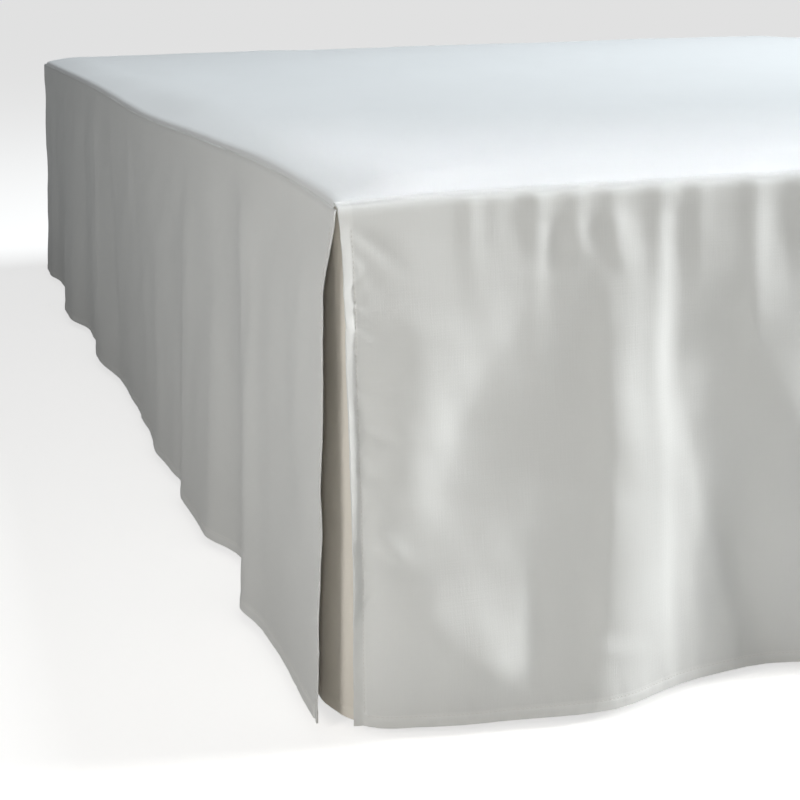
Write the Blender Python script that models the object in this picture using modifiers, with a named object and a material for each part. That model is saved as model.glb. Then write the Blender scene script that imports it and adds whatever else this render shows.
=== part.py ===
"""A queen bed skirt with split corners, hanging from a plain bed base.

A flat deck sheet lies on the base. Three panels are sewn to its edge, roll over the edge of the
base and hang to just above the floor. Each foot corner is split, and a strip of cloth hangs
behind the split. The head end has no panel.

Metres, +Z up. The foot end faces -Y. The origin is the point on the floor under the base's centre.
"""
import math
import random
from dataclasses import dataclass

import bmesh
import bpy
from mathutils import Vector

# Driving sizes
BED_WIDTH = 1.52
BED_LENGTH = 2.03
DROP = 0.381
HEM_CLEARANCE = 0.006
CLOTH = 0.0015
GAP = 0.0003

# How a panel leaves the deck: a strip flat on the deck, then a roll over the edge
SEAM_INSET = 0.012
ROLL_RADIUS = 0.009
ROLL_STEPS = 3
HANG_STEPS = 7
HANG_CROWDING = 1.3
MITRE_STEP = 0.002

# The long panels' free edge at the foot corner swings this far back along the bed at the hem
FLAP_SWING = 0.016

# The shares of the fall over which folds and gathers grow out of the roll
FOLD_START = 0.15
GATHER_START = 0.05

# Columns of each panel, and how much closer together they stand by the foot corner
SIDE_COLUMNS = 74
FOOT_COLUMNS = 112
SIDE_CROWDING = 1.25
FOOT_CROWDING = 1.12

# The strip behind each split corner
UNDERLAP_LEG = 0.130
UNDERLAP_LAYER = CLOTH + 0.0004
UNDERLAP_SEAM_INSET = 0.0115
UNDERLAP_COLUMNS = 20
UNDERLAP_LEG_SHARE = 0.32
CORNER_RADIUS_TOP = 0.014
CORNER_RADIUS_HEM = 0.025

# The base
FOUNDATION_HEIGHT = 0.2286
FOUNDATION_INSET = 0.0054
FOUNDATION_CORNER_RADIUS = 0.035
FOUNDATION_EDGE_RADIUS = 0.018
FOUNDATION_CORNER_STEPS = 5
FOUNDATION_EDGE_STEPS = 4
HEAD_MARGIN = 0.002
DECK_HEAD_MARGIN = 0.020
LEG_TOP_RADIUS = 0.028
LEG_BOTTOM_RADIUS = 0.022
LEG_INSET = 0.095
LEG_SIDES = 28

SMOOTH_BELOW = math.radians(40)

COLLECTION_NAME = "bed_skirt_on_bed_base"


@dataclass(frozen=True)
class Finish:
    """A plain surface: linear colour, roughness and metallic value."""

    name: str
    colour: tuple
    roughness: float
    metallic: float = 0.0


DECK_CLOTH = Finish("deck_cloth", (0.80, 0.83, 0.86), 0.90)
PANEL_CLOTH = Finish("panel_cloth", (0.74, 0.74, 0.72), 0.90)
UNDERLAP_CLOTH = Finish("underlap_cloth", (0.62, 0.57, 0.50), 0.90)
BASE_COVER = Finish("base_cover", (0.60, 0.60, 0.58), 0.95)
LEG_WOOD = Finish("leg_wood", (0.35, 0.24, 0.15), 0.55)


@dataclass(frozen=True)
class Fold:
    """One soft ridge or trough that runs down a hanging sheet.

    at_top and at_hem are distances along the sheet, so a fold may lean. It is level for `level`
    either side of its middle and dies away over `slope`. It stands out by `high` just under the
    roll and by `low` at the hem, and a negative value draws the cloth in.
    """

    at_top: float
    at_hem: float
    level: float
    slope: float
    high: float
    low: float

    def depth(self, along, fall):
        """How far the cloth stands out at a distance along the sheet and a share of the fall."""
        middle = self.at_top + (self.at_hem - self.at_top) * fall
        beyond = max(abs(along - middle) - self.level, 0.0) / self.slope
        start = smooth_step(fall / FOLD_START)
        strength = self.high * start * (1.0 - fall) + self.low * fall
        return strength * math.exp(-beyond * beyond)


@dataclass(frozen=True)
class Gather:
    """A short ridge of spare cloth that the seam takes in, under the roll.

    It stands out by `depth`, dies away over `slope` along the sheet, and fades down the fall over
    `reach`, a share of it.
    """

    at: float
    slope: float
    depth: float
    reach: float

    def stand_out(self, along, fall):
        """How far the ridge stands out at a distance along the sheet and a share of the fall."""
        beyond = (along - self.at) / self.slope
        down = fall / self.reach
        return self.depth * smooth_step(fall / GATHER_START) * math.exp(-beyond * beyond - down * down)


# Distances from the foot corner towards the head. The first three make the stiff flap by the
# split corner and the sharp edge where it ends.
LEFT_FOLDS = (
    Fold(at_top=0.000, at_hem=0.000, level=0.000, slope=0.110, high=0.005, low=0.001),
    Fold(at_top=0.130, at_hem=0.114, level=0.118, slope=0.047, high=0.003, low=0.020),
    Fold(at_top=0.280, at_hem=0.256, level=0.000, slope=0.045, high=0.004, low=0.011),
    Fold(at_top=0.482, at_hem=0.495, level=0.057, slope=0.044, high=0.002, low=0.023),
    Fold(at_top=0.650, at_hem=0.688, level=0.030, slope=0.068, high=0.000, low=0.018),
    Fold(at_top=0.802, at_hem=0.826, level=0.010, slope=0.078, high=0.002, low=0.013),
    Fold(at_top=1.062, at_hem=1.042, level=0.060, slope=0.108, high=0.000, low=0.013),
    Fold(at_top=1.288, at_hem=1.215, level=0.010, slope=0.068, high=0.003, low=0.020),
    Fold(at_top=1.356, at_hem=1.328, level=0.030, slope=0.060, high=0.000, low=0.013),
    Fold(at_top=1.575, at_hem=1.555, level=0.040, slope=0.088, high=0.002, low=0.034),
    Fold(at_top=1.770, at_hem=1.785, level=0.030, slope=0.070, high=0.000, low=0.012),
    Fold(at_top=1.940, at_hem=1.955, level=0.030, slope=0.060, high=0.000, low=0.024),
)

# Distances from the foot-left corner. The first draws in the free edge by the split, and the
# broad ridge after it carries most of the flare.
FOOT_FOLDS = (
    Fold(at_top=0.000, at_hem=0.000, level=0.000, slope=0.018, high=0.000, low=-0.010),
    Fold(at_top=0.075, at_hem=0.084, level=0.000, slope=0.064, high=0.000, low=0.025),
    Fold(at_top=0.212, at_hem=0.185, level=0.000, slope=0.063, high=0.004, low=0.034),
    Fold(at_top=0.248, at_hem=0.330, level=0.000, slope=0.028, high=-0.002, low=-0.001),
    Fold(at_top=0.310, at_hem=0.435, level=0.015, slope=0.065, high=0.005, low=0.024),
    Fold(at_top=0.560, at_hem=0.600, level=0.030, slope=0.058, high=0.002, low=0.031),
    Fold(at_top=0.735, at_hem=0.765, level=0.010, slope=0.055, high=0.003, low=0.018),
    Fold(at_top=0.930, at_hem=0.905, level=0.020, slope=0.062, high=0.000, low=0.033),
    Fold(at_top=1.085, at_hem=1.090, level=0.015, slope=0.050, high=0.004, low=0.020),
    Fold(at_top=1.290, at_hem=1.260, level=0.020, slope=0.068, high=0.002, low=0.036),
    Fold(at_top=1.440, at_hem=1.425, level=0.000, slope=0.060, high=0.000, low=0.024),
    Fold(at_top=1.520, at_hem=1.520, level=0.000, slope=0.020, high=0.000, low=-0.008),
)

# The foot panel's gathers near the left corner
NEAR_GATHERS = (
    Gather(at=0.113, slope=0.009, depth=0.0012, reach=0.10),
    Gather(at=0.140, slope=0.008, depth=0.0012, reach=0.08),
    Gather(at=0.168, slope=0.009, depth=0.0024, reach=0.17),
    Gather(at=0.200, slope=0.010, depth=0.0028, reach=0.20),
    Gather(at=0.234, slope=0.011, depth=0.0040, reach=0.45),
    Gather(at=0.270, slope=0.010, depth=0.0030, reach=0.28),
)

# The gathers that follow them, no two alike, as far as the flat cloth by the right corner
GATHER_PITCHES = (0.028, 0.040)
GATHER_SLOPE = 0.010
GATHER_DEPTHS = (0.0012, 0.0036)
GATHER_REACHES = (0.08, 0.32)
GATHER_SEED = 5
GATHER_MARGIN = 0.110

# Distances from the foot corner towards the head, on the side away from the light
RIGHT_FOLDS = (
    Fold(at_top=0.120, at_hem=0.110, level=0.110, slope=0.050, high=0.000, low=0.018),
    Fold(at_top=0.300, at_hem=0.275, level=0.000, slope=0.055, high=0.003, low=0.014),
    Fold(at_top=0.520, at_hem=0.540, level=0.040, slope=0.070, high=0.002, low=0.027),
    Fold(at_top=0.760, at_hem=0.735, level=0.020, slope=0.065, high=0.000, low=0.015),
    Fold(at_top=0.980, at_hem=1.010, level=0.050, slope=0.085, high=0.003, low=0.024),
    Fold(at_top=1.260, at_hem=1.235, level=0.020, slope=0.060, high=0.000, low=0.017),
    Fold(at_top=1.480, at_hem=1.500, level=0.040, slope=0.090, high=0.002, low=0.030),
    Fold(at_top=1.740, at_hem=1.760, level=0.030, slope=0.075, high=0.000, low=0.014),
    Fold(at_top=1.940, at_hem=1.950, level=0.030, slope=0.060, high=0.000, low=0.022),
)

# Distances from the middle of the corner: the side leg is negative, the foot leg positive
LEFT_UNDERLAP_FOLDS = (
    Fold(at_top=-0.090, at_hem=-0.090, level=0.040, slope=0.030, high=0.000, low=0.010),
    Fold(at_top=0.012, at_hem=0.012, level=0.004, slope=0.014, high=0.000, low=-0.002),
    Fold(at_top=0.110, at_hem=0.120, level=0.020, slope=0.040, high=0.000, low=0.009),
)
RIGHT_UNDERLAP_FOLDS = (
    Fold(at_top=-0.095, at_hem=-0.095, level=0.035, slope=0.030, high=0.000, low=0.008),
    Fold(at_top=0.010, at_hem=0.010, level=0.004, slope=0.014, high=0.000, low=-0.003),
    Fold(at_top=0.110, at_hem=0.115, level=0.020, slope=0.040, high=0.000, low=0.008),
)


@dataclass(frozen=True)
class Row:
    """One level of a hanging sheet: inset from the outer face, height, and share of the fall."""

    inset: float
    height: float
    fall: float


@dataclass(frozen=True)
class Panel:
    """A straight panel and where it hangs.

    starts_at_corner says whether the walk around the bed, with the outside on the right, meets
    the panel's foot corner first. Crowding above 1 draws its columns together there. The free
    edge starts corner_step past the mitre and swings corner_swing further along at the hem.
    """

    name: str
    corner: Vector
    along: Vector
    outward: Vector
    length: float
    columns: int
    crowding: float
    starts_at_corner: bool
    corner_swing: float
    corner_step: float
    far_mitred: bool
    folds: tuple
    gathers: tuple


def smooth_step(share):
    """A share from 0 to 1 with level ends."""
    share = min(max(share, 0.0), 1.0)
    return share * share * (3.0 - 2.0 * share)


def clear_objects():
    """Removes what the scene holds."""
    for item in list(bpy.data.objects):
        bpy.data.objects.remove(item, do_unlink=True)


def make_material(finish):
    """A Principled material from a finish."""
    material = bpy.data.materials.new(finish.name)
    material.use_nodes = True
    shader = material.node_tree.nodes["Principled BSDF"]
    shader.inputs["Base Color"].default_value = (*finish.colour, 1.0)
    shader.inputs["Roughness"].default_value = finish.roughness
    shader.inputs["Metallic"].default_value = finish.metallic
    material.diffuse_color = (*finish.colour, 1.0)
    return material


def add_object(name, bm, finish, parts):
    """Turns a bmesh into a named, smooth-shaded object with its own material."""
    mesh = bpy.data.meshes.new(name)
    bm.to_mesh(mesh)
    bm.free()
    mesh.materials.append(make_material(finish))
    mesh.shade_smooth()
    mesh.set_sharp_from_angle(angle=SMOOTH_BELOW)
    item = bpy.data.objects.new(name, mesh)
    parts.objects.link(item)
    return item


def hanging_rows(layer, seam_inset):
    """The levels of a sheet from its hem up to its seam, `layer` inside the outer face."""
    top = DROP - layer
    radius = ROLL_RADIUS - layer
    roll_foot = DROP - ROLL_RADIUS
    rows = []
    for step in range(HANG_STEPS):
        fall = (1.0 - step / HANG_STEPS) ** HANG_CROWDING
        rows.append(Row(layer, roll_foot - (roll_foot - HEM_CLEARANCE) * fall, fall))
    for step in range(ROLL_STEPS + 1):
        turn = math.radians(90.0) * step / ROLL_STEPS
        inset = ROLL_RADIUS - radius * math.cos(turn)
        rows.append(Row(inset, roll_foot + radius * math.sin(turn), 0.0))
    rows.append(Row(seam_inset, top, 0.0))
    return rows


def fold_depth(folds, along, fall):
    """How far all folds together push the cloth out."""
    return sum(fold.depth(along, fall) for fold in folds)


def foot_gathers():
    """The gathers across the foot panel, from the left corner to the right."""
    chance = random.Random(GATHER_SEED)
    gathers = list(NEAR_GATHERS)
    at = gathers[-1].at + chance.uniform(*GATHER_PITCHES)
    while at < BED_WIDTH - GATHER_MARGIN:
        depth = chance.uniform(*GATHER_DEPTHS)
        gathers.append(Gather(at, GATHER_SLOPE, depth, chance.uniform(*GATHER_REACHES)))
        at += chance.uniform(*GATHER_PITCHES)
    return tuple(gathers)


def swing_lift(depth, fall):
    """How much higher cloth hangs where a fold swings it out of the vertical."""
    return fall * depth * depth / (2.0 * DROP)


def add_sheet(name, columns, rows, place, finish, parts):
    """A sheet of cloth over a grid: place(share along, row) gives each point of its outer face."""
    bm = bmesh.new()
    last = len(rows) - 1
    bmesh.ops.create_grid(bm, x_segments=columns, y_segments=last, size=0.5)
    for vert in bm.verts:
        share = vert.co.x + 0.5
        row = rows[round((vert.co.y + 0.5) * last)]
        vert.co = place(share, row)
    item = add_object(name, bm, finish, parts)
    thickness = item.modifiers.new("cloth_thickness", "SOLIDIFY")
    thickness.thickness = CLOTH
    thickness.offset = -1.0
    thickness.use_even_offset = True
    return item


def add_panel(panel, parts):
    """A panel sewn to the deck's edge, mitred at the corners and hanging free below the roll."""

    def place(share, row):
        from_corner = share if panel.starts_at_corner else 1.0 - share
        crowded = from_corner ** panel.crowding
        near = row.inset + panel.corner_step + panel.corner_swing * row.fall
        far = panel.length
        if panel.far_mitred:
            far -= row.inset + panel.corner_step
        along = near + (far - near) * crowded
        depth = fold_depth(panel.folds, along, row.fall)
        depth += sum(gather.stand_out(along, row.fall) for gather in panel.gathers)
        point = panel.corner + panel.along * along + panel.outward * (depth - row.inset)
        point.z = row.height + swing_lift(depth, row.fall)
        return point

    rows = hanging_rows(0.0, SEAM_INSET)
    return add_sheet(panel.name, panel.columns, rows, place, PANEL_CLOTH, parts)


def corner_path(share, radius):
    """A point and outward direction of the underlap's line around the corner.

    Both are in the corner's own plan: first the distance in from the side face, then the distance
    in from the foot face. The last value is the distance from the middle of the corner.
    """
    centre = UNDERLAP_LAYER + radius
    straight = UNDERLAP_LEG - centre
    half_arc = radius * math.radians(45.0)
    if share < UNDERLAP_LEG_SHARE:
        back = straight * (1.0 - share / UNDERLAP_LEG_SHARE)
        return Vector((UNDERLAP_LAYER, centre + back)), Vector((-1.0, 0.0)), -half_arc - back
    if share > 1.0 - UNDERLAP_LEG_SHARE:
        on = straight * (share - 1.0 + UNDERLAP_LEG_SHARE) / UNDERLAP_LEG_SHARE
        return Vector((centre + on, UNDERLAP_LAYER)), Vector((0.0, -1.0)), half_arc + on
    turn = math.radians(90.0) * (share - UNDERLAP_LEG_SHARE) / (1.0 - 2.0 * UNDERLAP_LEG_SHARE)
    outward = Vector((-math.cos(turn), -math.sin(turn)))
    point = Vector((centre, centre)) + outward * radius
    return point, outward, radius * turn - half_arc


def add_underlap(name, side, folds, parts):
    """The strip behind a split foot corner, on the left (side -1) or the right (side 1)."""

    def place(share, row):
        from_side = share if side < 0 else 1.0 - share
        radius = CORNER_RADIUS_TOP + (CORNER_RADIUS_HEM - CORNER_RADIUS_TOP) * row.fall
        point, outward, along = corner_path(from_side, radius)
        depth = fold_depth(folds, along, row.fall)
        point = point + outward * (depth - (row.inset - UNDERLAP_LAYER))
        height = row.height + swing_lift(depth, row.fall)
        return Vector((side * (BED_WIDTH / 2 - point.x), point.y - BED_LENGTH / 2, height))

    rows = hanging_rows(UNDERLAP_LAYER, UNDERLAP_SEAM_INSET)
    return add_sheet(name, UNDERLAP_COLUMNS, rows, place, UNDERLAP_CLOTH, parts)


def add_box(name, low, high, finish, parts):
    """A plain box between two corners."""
    bm = bmesh.new()
    bmesh.ops.create_cube(bm, size=1.0)
    size = Vector(high) - Vector(low)
    middle = (Vector(high) + Vector(low)) / 2
    for vert in bm.verts:
        vert.co = Vector(a * b for a, b in zip(vert.co, size)) + middle
    return add_object(name, bm, finish, parts)


def add_deck(parts):
    """The flat sheet under the mattress, up to the seams."""
    inset = SEAM_INSET + GAP
    low = (inset - BED_WIDTH / 2, inset - BED_LENGTH / 2, DROP - CLOTH)
    high = (BED_WIDTH / 2 - inset, BED_LENGTH / 2 - DECK_HEAD_MARGIN, DROP)
    return add_box("deck", low, high, DECK_CLOTH, parts)


def foundation_levels():
    """The heights of the foundation's underside and top."""
    top = DROP - CLOTH - GAP
    return top - FOUNDATION_HEIGHT, top


def add_foundation(parts):
    """The base: a box with round upright corners and a softly rounded top edge."""
    bottom, top = foundation_levels()
    low = (FOUNDATION_INSET - BED_WIDTH / 2, FOUNDATION_INSET - BED_LENGTH / 2, bottom)
    high = (BED_WIDTH / 2 - FOUNDATION_INSET, BED_LENGTH / 2 - HEAD_MARGIN, top)
    bm = bmesh.new()
    bmesh.ops.create_cube(bm, size=1.0)
    for vert in bm.verts:
        vert.co = Vector(a + (b - a) * (c + 0.5) for a, b, c in zip(low, high, vert.co))
    upright = [edge for edge in bm.edges if edge.calc_length() < FOUNDATION_HEIGHT + GAP]
    bmesh.ops.bevel(bm, geom=upright, offset=FOUNDATION_CORNER_RADIUS, segments=FOUNDATION_CORNER_STEPS,
                    profile=0.5, affect="EDGES", clamp_overlap=True)
    rim = [edge for edge in bm.edges if all(vert.co.z > top - GAP for vert in edge.verts)]
    bmesh.ops.bevel(bm, geom=rim, offset=FOUNDATION_EDGE_RADIUS, segments=FOUNDATION_EDGE_STEPS,
                    profile=0.5, affect="EDGES", clamp_overlap=True)
    return add_object("foundation", bm, BASE_COVER, parts)


def add_leg(name, place_x, place_y, parts):
    """A plain turned leg, slightly narrower at the floor."""
    height = foundation_levels()[0] - GAP
    bm = bmesh.new()
    bmesh.ops.create_cone(bm, cap_ends=True, segments=LEG_SIDES,
                          radius1=LEG_BOTTOM_RADIUS, radius2=LEG_TOP_RADIUS, depth=height)
    bmesh.ops.translate(bm, verts=bm.verts, vec=Vector((0.0, 0.0, height / 2)))
    leg = add_object(name, bm, LEG_WOOD, parts)
    leg.location = (place_x, place_y, 0.0)
    return leg


def side_panel(name, side, folds):
    """A long side's panel, on the left (side -1) or the right (side 1)."""
    return Panel(
        name=name,
        corner=Vector((side * BED_WIDTH / 2, -BED_LENGTH / 2, 0.0)),
        along=Vector((0.0, 1.0, 0.0)),
        outward=Vector((side, 0.0, 0.0)),
        length=BED_LENGTH - HEAD_MARGIN,
        columns=SIDE_COLUMNS,
        crowding=SIDE_CROWDING,
        starts_at_corner=side > 0,
        corner_swing=FLAP_SWING,
        corner_step=0.0,
        far_mitred=False,
        folds=folds,
        gathers=(),
    )


def foot_panel():
    """The panel across the foot end."""
    return Panel(
        name="panel_foot",
        corner=Vector((-BED_WIDTH / 2, -BED_LENGTH / 2, 0.0)),
        along=Vector((1.0, 0.0, 0.0)),
        outward=Vector((0.0, -1.0, 0.0)),
        length=BED_WIDTH,
        columns=FOOT_COLUMNS,
        crowding=FOOT_CROWDING,
        starts_at_corner=True,
        corner_swing=0.0,
        corner_step=MITRE_STEP,
        far_mitred=True,
        folds=FOOT_FOLDS,
        gathers=foot_gathers(),
    )


def build():
    """Makes every piece of the skirt and its base."""
    clear_objects()
    parts = bpy.data.collections.new(COLLECTION_NAME)
    bpy.context.scene.collection.children.link(parts)
    add_deck(parts)
    add_panel(side_panel("panel_left", -1, LEFT_FOLDS), parts)
    add_panel(foot_panel(), parts)
    add_panel(side_panel("panel_right", 1, RIGHT_FOLDS), parts)
    add_underlap("underlap_left", -1, LEFT_UNDERLAP_FOLDS, parts)
    add_underlap("underlap_right", 1, RIGHT_UNDERLAP_FOLDS, parts)
    add_foundation(parts)
    leg_x = BED_WIDTH / 2 - LEG_INSET
    leg_y = BED_LENGTH / 2 - LEG_INSET
    add_leg("leg_front_left", -leg_x, -leg_y, parts)
    add_leg("leg_front_right", leg_x, -leg_y, parts)
    add_leg("leg_back_left", -leg_x, leg_y, parts)
    add_leg("leg_back_right", leg_x, leg_y, parts)
    add_leg("leg_centre", 0.0, 0.0, parts)


build()
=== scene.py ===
"""How the bed skirt and its base look: the cloth with its folds, hems and stitching, the base and the studio.

Every piece stands where the frame's solids stand. Metres, +Z up, the foot end faces -Y.
"""

import logging
import math
import random
from dataclasses import dataclass, field, fields
from enum import Enum
from typing import Sequence

import bmesh
import bpy
import numpy as np
from mathutils import Matrix, Vector


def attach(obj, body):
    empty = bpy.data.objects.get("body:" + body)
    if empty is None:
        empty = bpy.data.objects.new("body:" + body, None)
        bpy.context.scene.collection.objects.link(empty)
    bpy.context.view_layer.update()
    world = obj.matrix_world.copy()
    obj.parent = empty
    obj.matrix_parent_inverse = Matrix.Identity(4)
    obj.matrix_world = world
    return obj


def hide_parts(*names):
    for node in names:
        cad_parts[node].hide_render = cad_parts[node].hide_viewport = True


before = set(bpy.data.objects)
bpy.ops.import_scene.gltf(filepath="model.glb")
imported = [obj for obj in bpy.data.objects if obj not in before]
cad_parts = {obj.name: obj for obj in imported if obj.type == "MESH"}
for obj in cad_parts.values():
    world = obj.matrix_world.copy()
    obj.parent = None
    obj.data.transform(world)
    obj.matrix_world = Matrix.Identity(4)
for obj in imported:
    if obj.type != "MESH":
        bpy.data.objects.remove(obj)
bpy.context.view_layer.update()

BODY = "root"
log = logging.getLogger("bed_skirt")

# The bed
BED_WIDTH = 1.52
BED_LENGTH = 2.03
DROP = 0.381
HEM_HEIGHT = 0.006
HEAD_MARGIN = 0.002
DECK_HEAD_MARGIN = 0.020

# How a panel leaves the deck
SEAM_INSET = 0.012
SIDE_SEAM_INSET = 0.0022
SEAM_GAP = 0.0003
SEAM_SINK = 0.0007
ROLL_RADIUS = 0.009
ROLL_FOOT = DROP - ROLL_RADIUS
FALL_LENGTH = ROLL_FOOT - HEM_HEIGHT
MITRE_STEP = 0.002
TOP_MITRE_STEP = 0.0006
FLAP_SWING = 0.016

# The soft top: how high its middle and its edges stand, and how it sinks and is pulled at the foot corners
EDGE_RISE = 0.0032
CROWN = 0.0088
CROWN_BORDER = 0.080
CORNER_SINK = 0.0042
CORNER_PULL = 0.0036
CORNER_PULL_PLAN = (0.018, 0.032)
CROWN_FOOT = (0.010, 0.070)
TOP_BORDER = 0.004
EDGE_BORDER = 0.085
SIDE_PULL_REACH = 0.080
FOOT_PULL_REACH = 0.016

# The cloth and its hems
CLOTH = 0.0015
FOLD_START = 0.15
GATHER_START = 0.05
HEM_WIDTH = 0.0098
SIDE_HEM_WIDTH = 0.0088
STITCH_LENGTH = 0.0027
STITCH_PITCH = 0.0034
STITCH_INSET = 0.0013
STITCH_BATCH = 24

# The strips behind the split corners
UNDERLAP_LEG = 0.130
UNDERLAP_LAYER = CLOTH + 0.0004
UNDERLAP_SEAM_INSET = 0.0115
CORNER_RADIUS_TOP = 0.014
CORNER_RADIUS_HEM = 0.025

# The base
BASE_HEIGHT = 0.2286
BASE_INSET = 0.0054
BASE_TOP = DROP - CLOTH - SEAM_GAP
BASE_CORNER_RADIUS = 0.035
BASE_EDGE_RADIUS = 0.018
LEG_TOP_RADIUS = 0.028
LEG_BOTTOM_RADIUS = 0.022
LEG_INSET = 0.095

Triple = tuple[float, float, float]


class Hold(Enum):
    """How a sheet of cloth is held."""

    HUNG = "hung"
    LAID = "laid"


class Slot(Enum):
    """The material slots."""

    DECK = "deck_cloth"
    PANEL = "panel_cloth"
    UNDERLAP = "underlap_cloth"
    BASE = "base_cover"
    LEG = "leg_wood"


def soft_step(share: np.ndarray) -> np.ndarray:
    """A share from 0 to 1 with level ends.

    Args:
        share: values of any size, held between 0 and 1.

    Returns:
        The eased values.
    """
    held = np.clip(share, 0.0, 1.0)
    return held * held * (3.0 - 2.0 * held)


def top_rise(place_x: np.ndarray, place_y: np.ndarray) -> np.ndarray:
    """How far the soft top of the base stands above its edges, and how its long edges rise and sink.

    Args:
        place_x: places across the bed, from its middle.
        place_y: places along it, from its middle.

    Returns:
        The distance up, less than 0 where it sinks.
    """
    inward = BED_WIDTH / 2 - np.abs(place_x)
    from_foot = place_y + BED_LENGTH / 2
    border = np.clip((inward - TOP_BORDER) / CROWN_BORDER, 0.0, 1.0)
    dome = 1.0 - (1.0 - border) ** 2.2
    crown = CROWN * dome * soft_step((from_foot + CROWN_FOOT[0]) / CROWN_FOOT[1])
    edge = np.where(place_x < 0.0, LEFT_EDGE.rise(from_foot), RIGHT_EDGE.rise(from_foot))
    return crown + edge * (1.0 - soft_step((inward - TOP_BORDER) / EDGE_BORDER))


def pulled(points: np.ndarray, reach: float) -> np.ndarray:
    """Draws the cloth out over the top of each foot corner, where the seams pull it tight.

    Args:
        points: points of a sheet, with the place as the last axis.
        reach: how far down the sheet that goes.

    Returns:
        The points after that.
    """
    place_x, place_y, height = points[..., 0], points[..., 1], points[..., 2]
    inward = BED_WIDTH / 2 - np.abs(place_x)
    from_foot = place_y + BED_LENGTH / 2
    across, onward = CORNER_PULL_PLAN
    held = np.exp(-((from_foot / onward) ** 2) - (inward / across) ** 2)
    held = held * np.exp(-np.maximum(DROP - height, 0.0) / reach)
    moved = points.copy()
    moved[..., 0] = place_x + np.sign(place_x) * CORNER_PULL * held
    return moved


def graded(*stops: tuple[float, float]) -> np.ndarray:
    """Places along a line that starts at 0, closer together where detail is.

    Args:
        stops: for each stretch, where it ends and about how far apart its places are.

    Returns:
        The places in order.
    """
    places = [0.0]
    for end, pitch in stops:
        start = places[-1]
        count = max(1, round((end - start) / pitch))
        places.extend(start + (end - start) * step / count for step in range(1, count + 1))
    return np.array(places)


def hem_stops(width: float, pitch: float) -> tuple[tuple[float, float], ...]:
    """The stretches in from a hemmed edge: the edge, its double cloth, its stitches and just past them."""
    return (0.0004, 0.0004), (width - 0.0033, pitch), (width + 0.0025, 0.0009), (width + 0.0090, 0.0022)


@dataclass(frozen=True)
class EdgeLine:
    """How one long edge of the top rises and sinks, and how it sinks into the foot corner.

    Each wave is its height, its distance from the foot end and its reach.
    """

    waves: tuple[tuple[float, float, float], ...]
    corner_reach: float

    def rise(self, from_foot: np.ndarray) -> np.ndarray:
        """The distance up at a distance from the foot end."""
        line = sum(height * np.exp(-(((from_foot - at) / reach) ** 2)) for height, at, reach in self.waves)
        return line + EDGE_RISE - CORNER_SINK * np.exp(-((from_foot / self.corner_reach) ** 2))


LEFT_EDGE = EdgeLine(((0.0022, 0.26, 0.10), (-0.0075, 0.86, 0.30)), 0.100)
RIGHT_EDGE = EdgeLine(((0.0020, 0.28, 0.16), (-0.0050, 1.10, 0.34)), 0.080)


@dataclass(frozen=True)
class Fold:
    """A soft ridge or trough that runs down a hanging sheet, as the solids have it."""

    at_top: float
    at_hem: float
    level: float
    slope: float
    high: float
    low: float

    def stand(self, along: np.ndarray, fall: np.ndarray) -> np.ndarray:
        """How far the cloth stands out.

        Args:
            along: distance along the sheet.
            fall: share of the fall, 0 at the roll and 1 at the hem.

        Returns:
            The distance outwards.
        """
        middle = self.at_top + (self.at_hem - self.at_top) * fall
        beyond = np.maximum(np.abs(along - middle) - self.level, 0.0) / self.slope
        start = soft_step(fall / FOLD_START)
        return (self.high * start * (1.0 - fall) + self.low * fall) * np.exp(-beyond * beyond)


@dataclass(frozen=True)
class Gather:
    """A short ridge of spare cloth that the seam takes in. Part of it reaches up over the roll."""

    at: float
    slope: float
    depth: float
    reach: float
    on_roll: float = 0.70

    def stand(self, along: np.ndarray, fall: np.ndarray) -> np.ndarray:
        """How far the ridge stands out, in the same terms as a fold."""
        beyond = (along - self.at) / self.slope
        down = fall / self.reach
        rise = self.on_roll + (1.0 - self.on_roll) * soft_step(fall / GATHER_START)
        return self.depth * rise * np.exp(-beyond * beyond - down * down)


@dataclass(frozen=True)
class Crease:
    """A soft line pressed into or out of the cloth between two places, each (along, share of fall).

    It is `near` wide on its left or upper side and `far` wide on the other, and bows sideways.
    """

    start: tuple[float, float]
    end: tuple[float, float]
    depth: float
    near: float
    far: float
    bow: float = 0.0

    def stand(self, along: np.ndarray, fall: np.ndarray) -> np.ndarray:
        """How far the crease stands out, in the same terms as a fold."""
        start_down, end_down = self.start[1] * FALL_LENGTH, self.end[1] * FALL_LENGTH
        run_x, run_y = self.end[0] - self.start[0], end_down - start_down
        length = math.hypot(run_x, run_y)
        from_x, from_y = along - self.start[0], fall * FALL_LENGTH - start_down
        on = (from_x * run_x + from_y * run_y) / (length * length)
        held = np.clip(on, 0.0, 1.0)
        aside = (from_x * run_y - from_y * run_x) / length - self.bow * 4.0 * held * (1.0 - held)
        past = np.abs(on - held) * length
        width = np.where(aside < 0.0, self.near, self.far)
        end_width = 0.5 * (self.near + self.far) + 0.12 * length
        fade = 0.35 + 0.65 * soft_step(held / 0.3) * soft_step((1.0 - held) / 0.3)
        return self.depth * fade * np.exp(-((aside / width) ** 2) - (past / end_width) ** 2)


@dataclass(frozen=True)
class Dent:
    """A soft hollow, or a swell where its depth is positive, round one place (along, share of fall)."""

    at: tuple[float, float]
    wide: float
    tall: float
    depth: float

    def stand(self, along: np.ndarray, fall: np.ndarray) -> np.ndarray:
        """How far the cloth stands out, in the same terms as a fold."""
        aside = (along - self.at[0]) / self.wide
        down = (fall - self.at[1]) * FALL_LENGTH / self.tall
        return self.depth * np.exp(-aside * aside - down * down)


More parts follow.
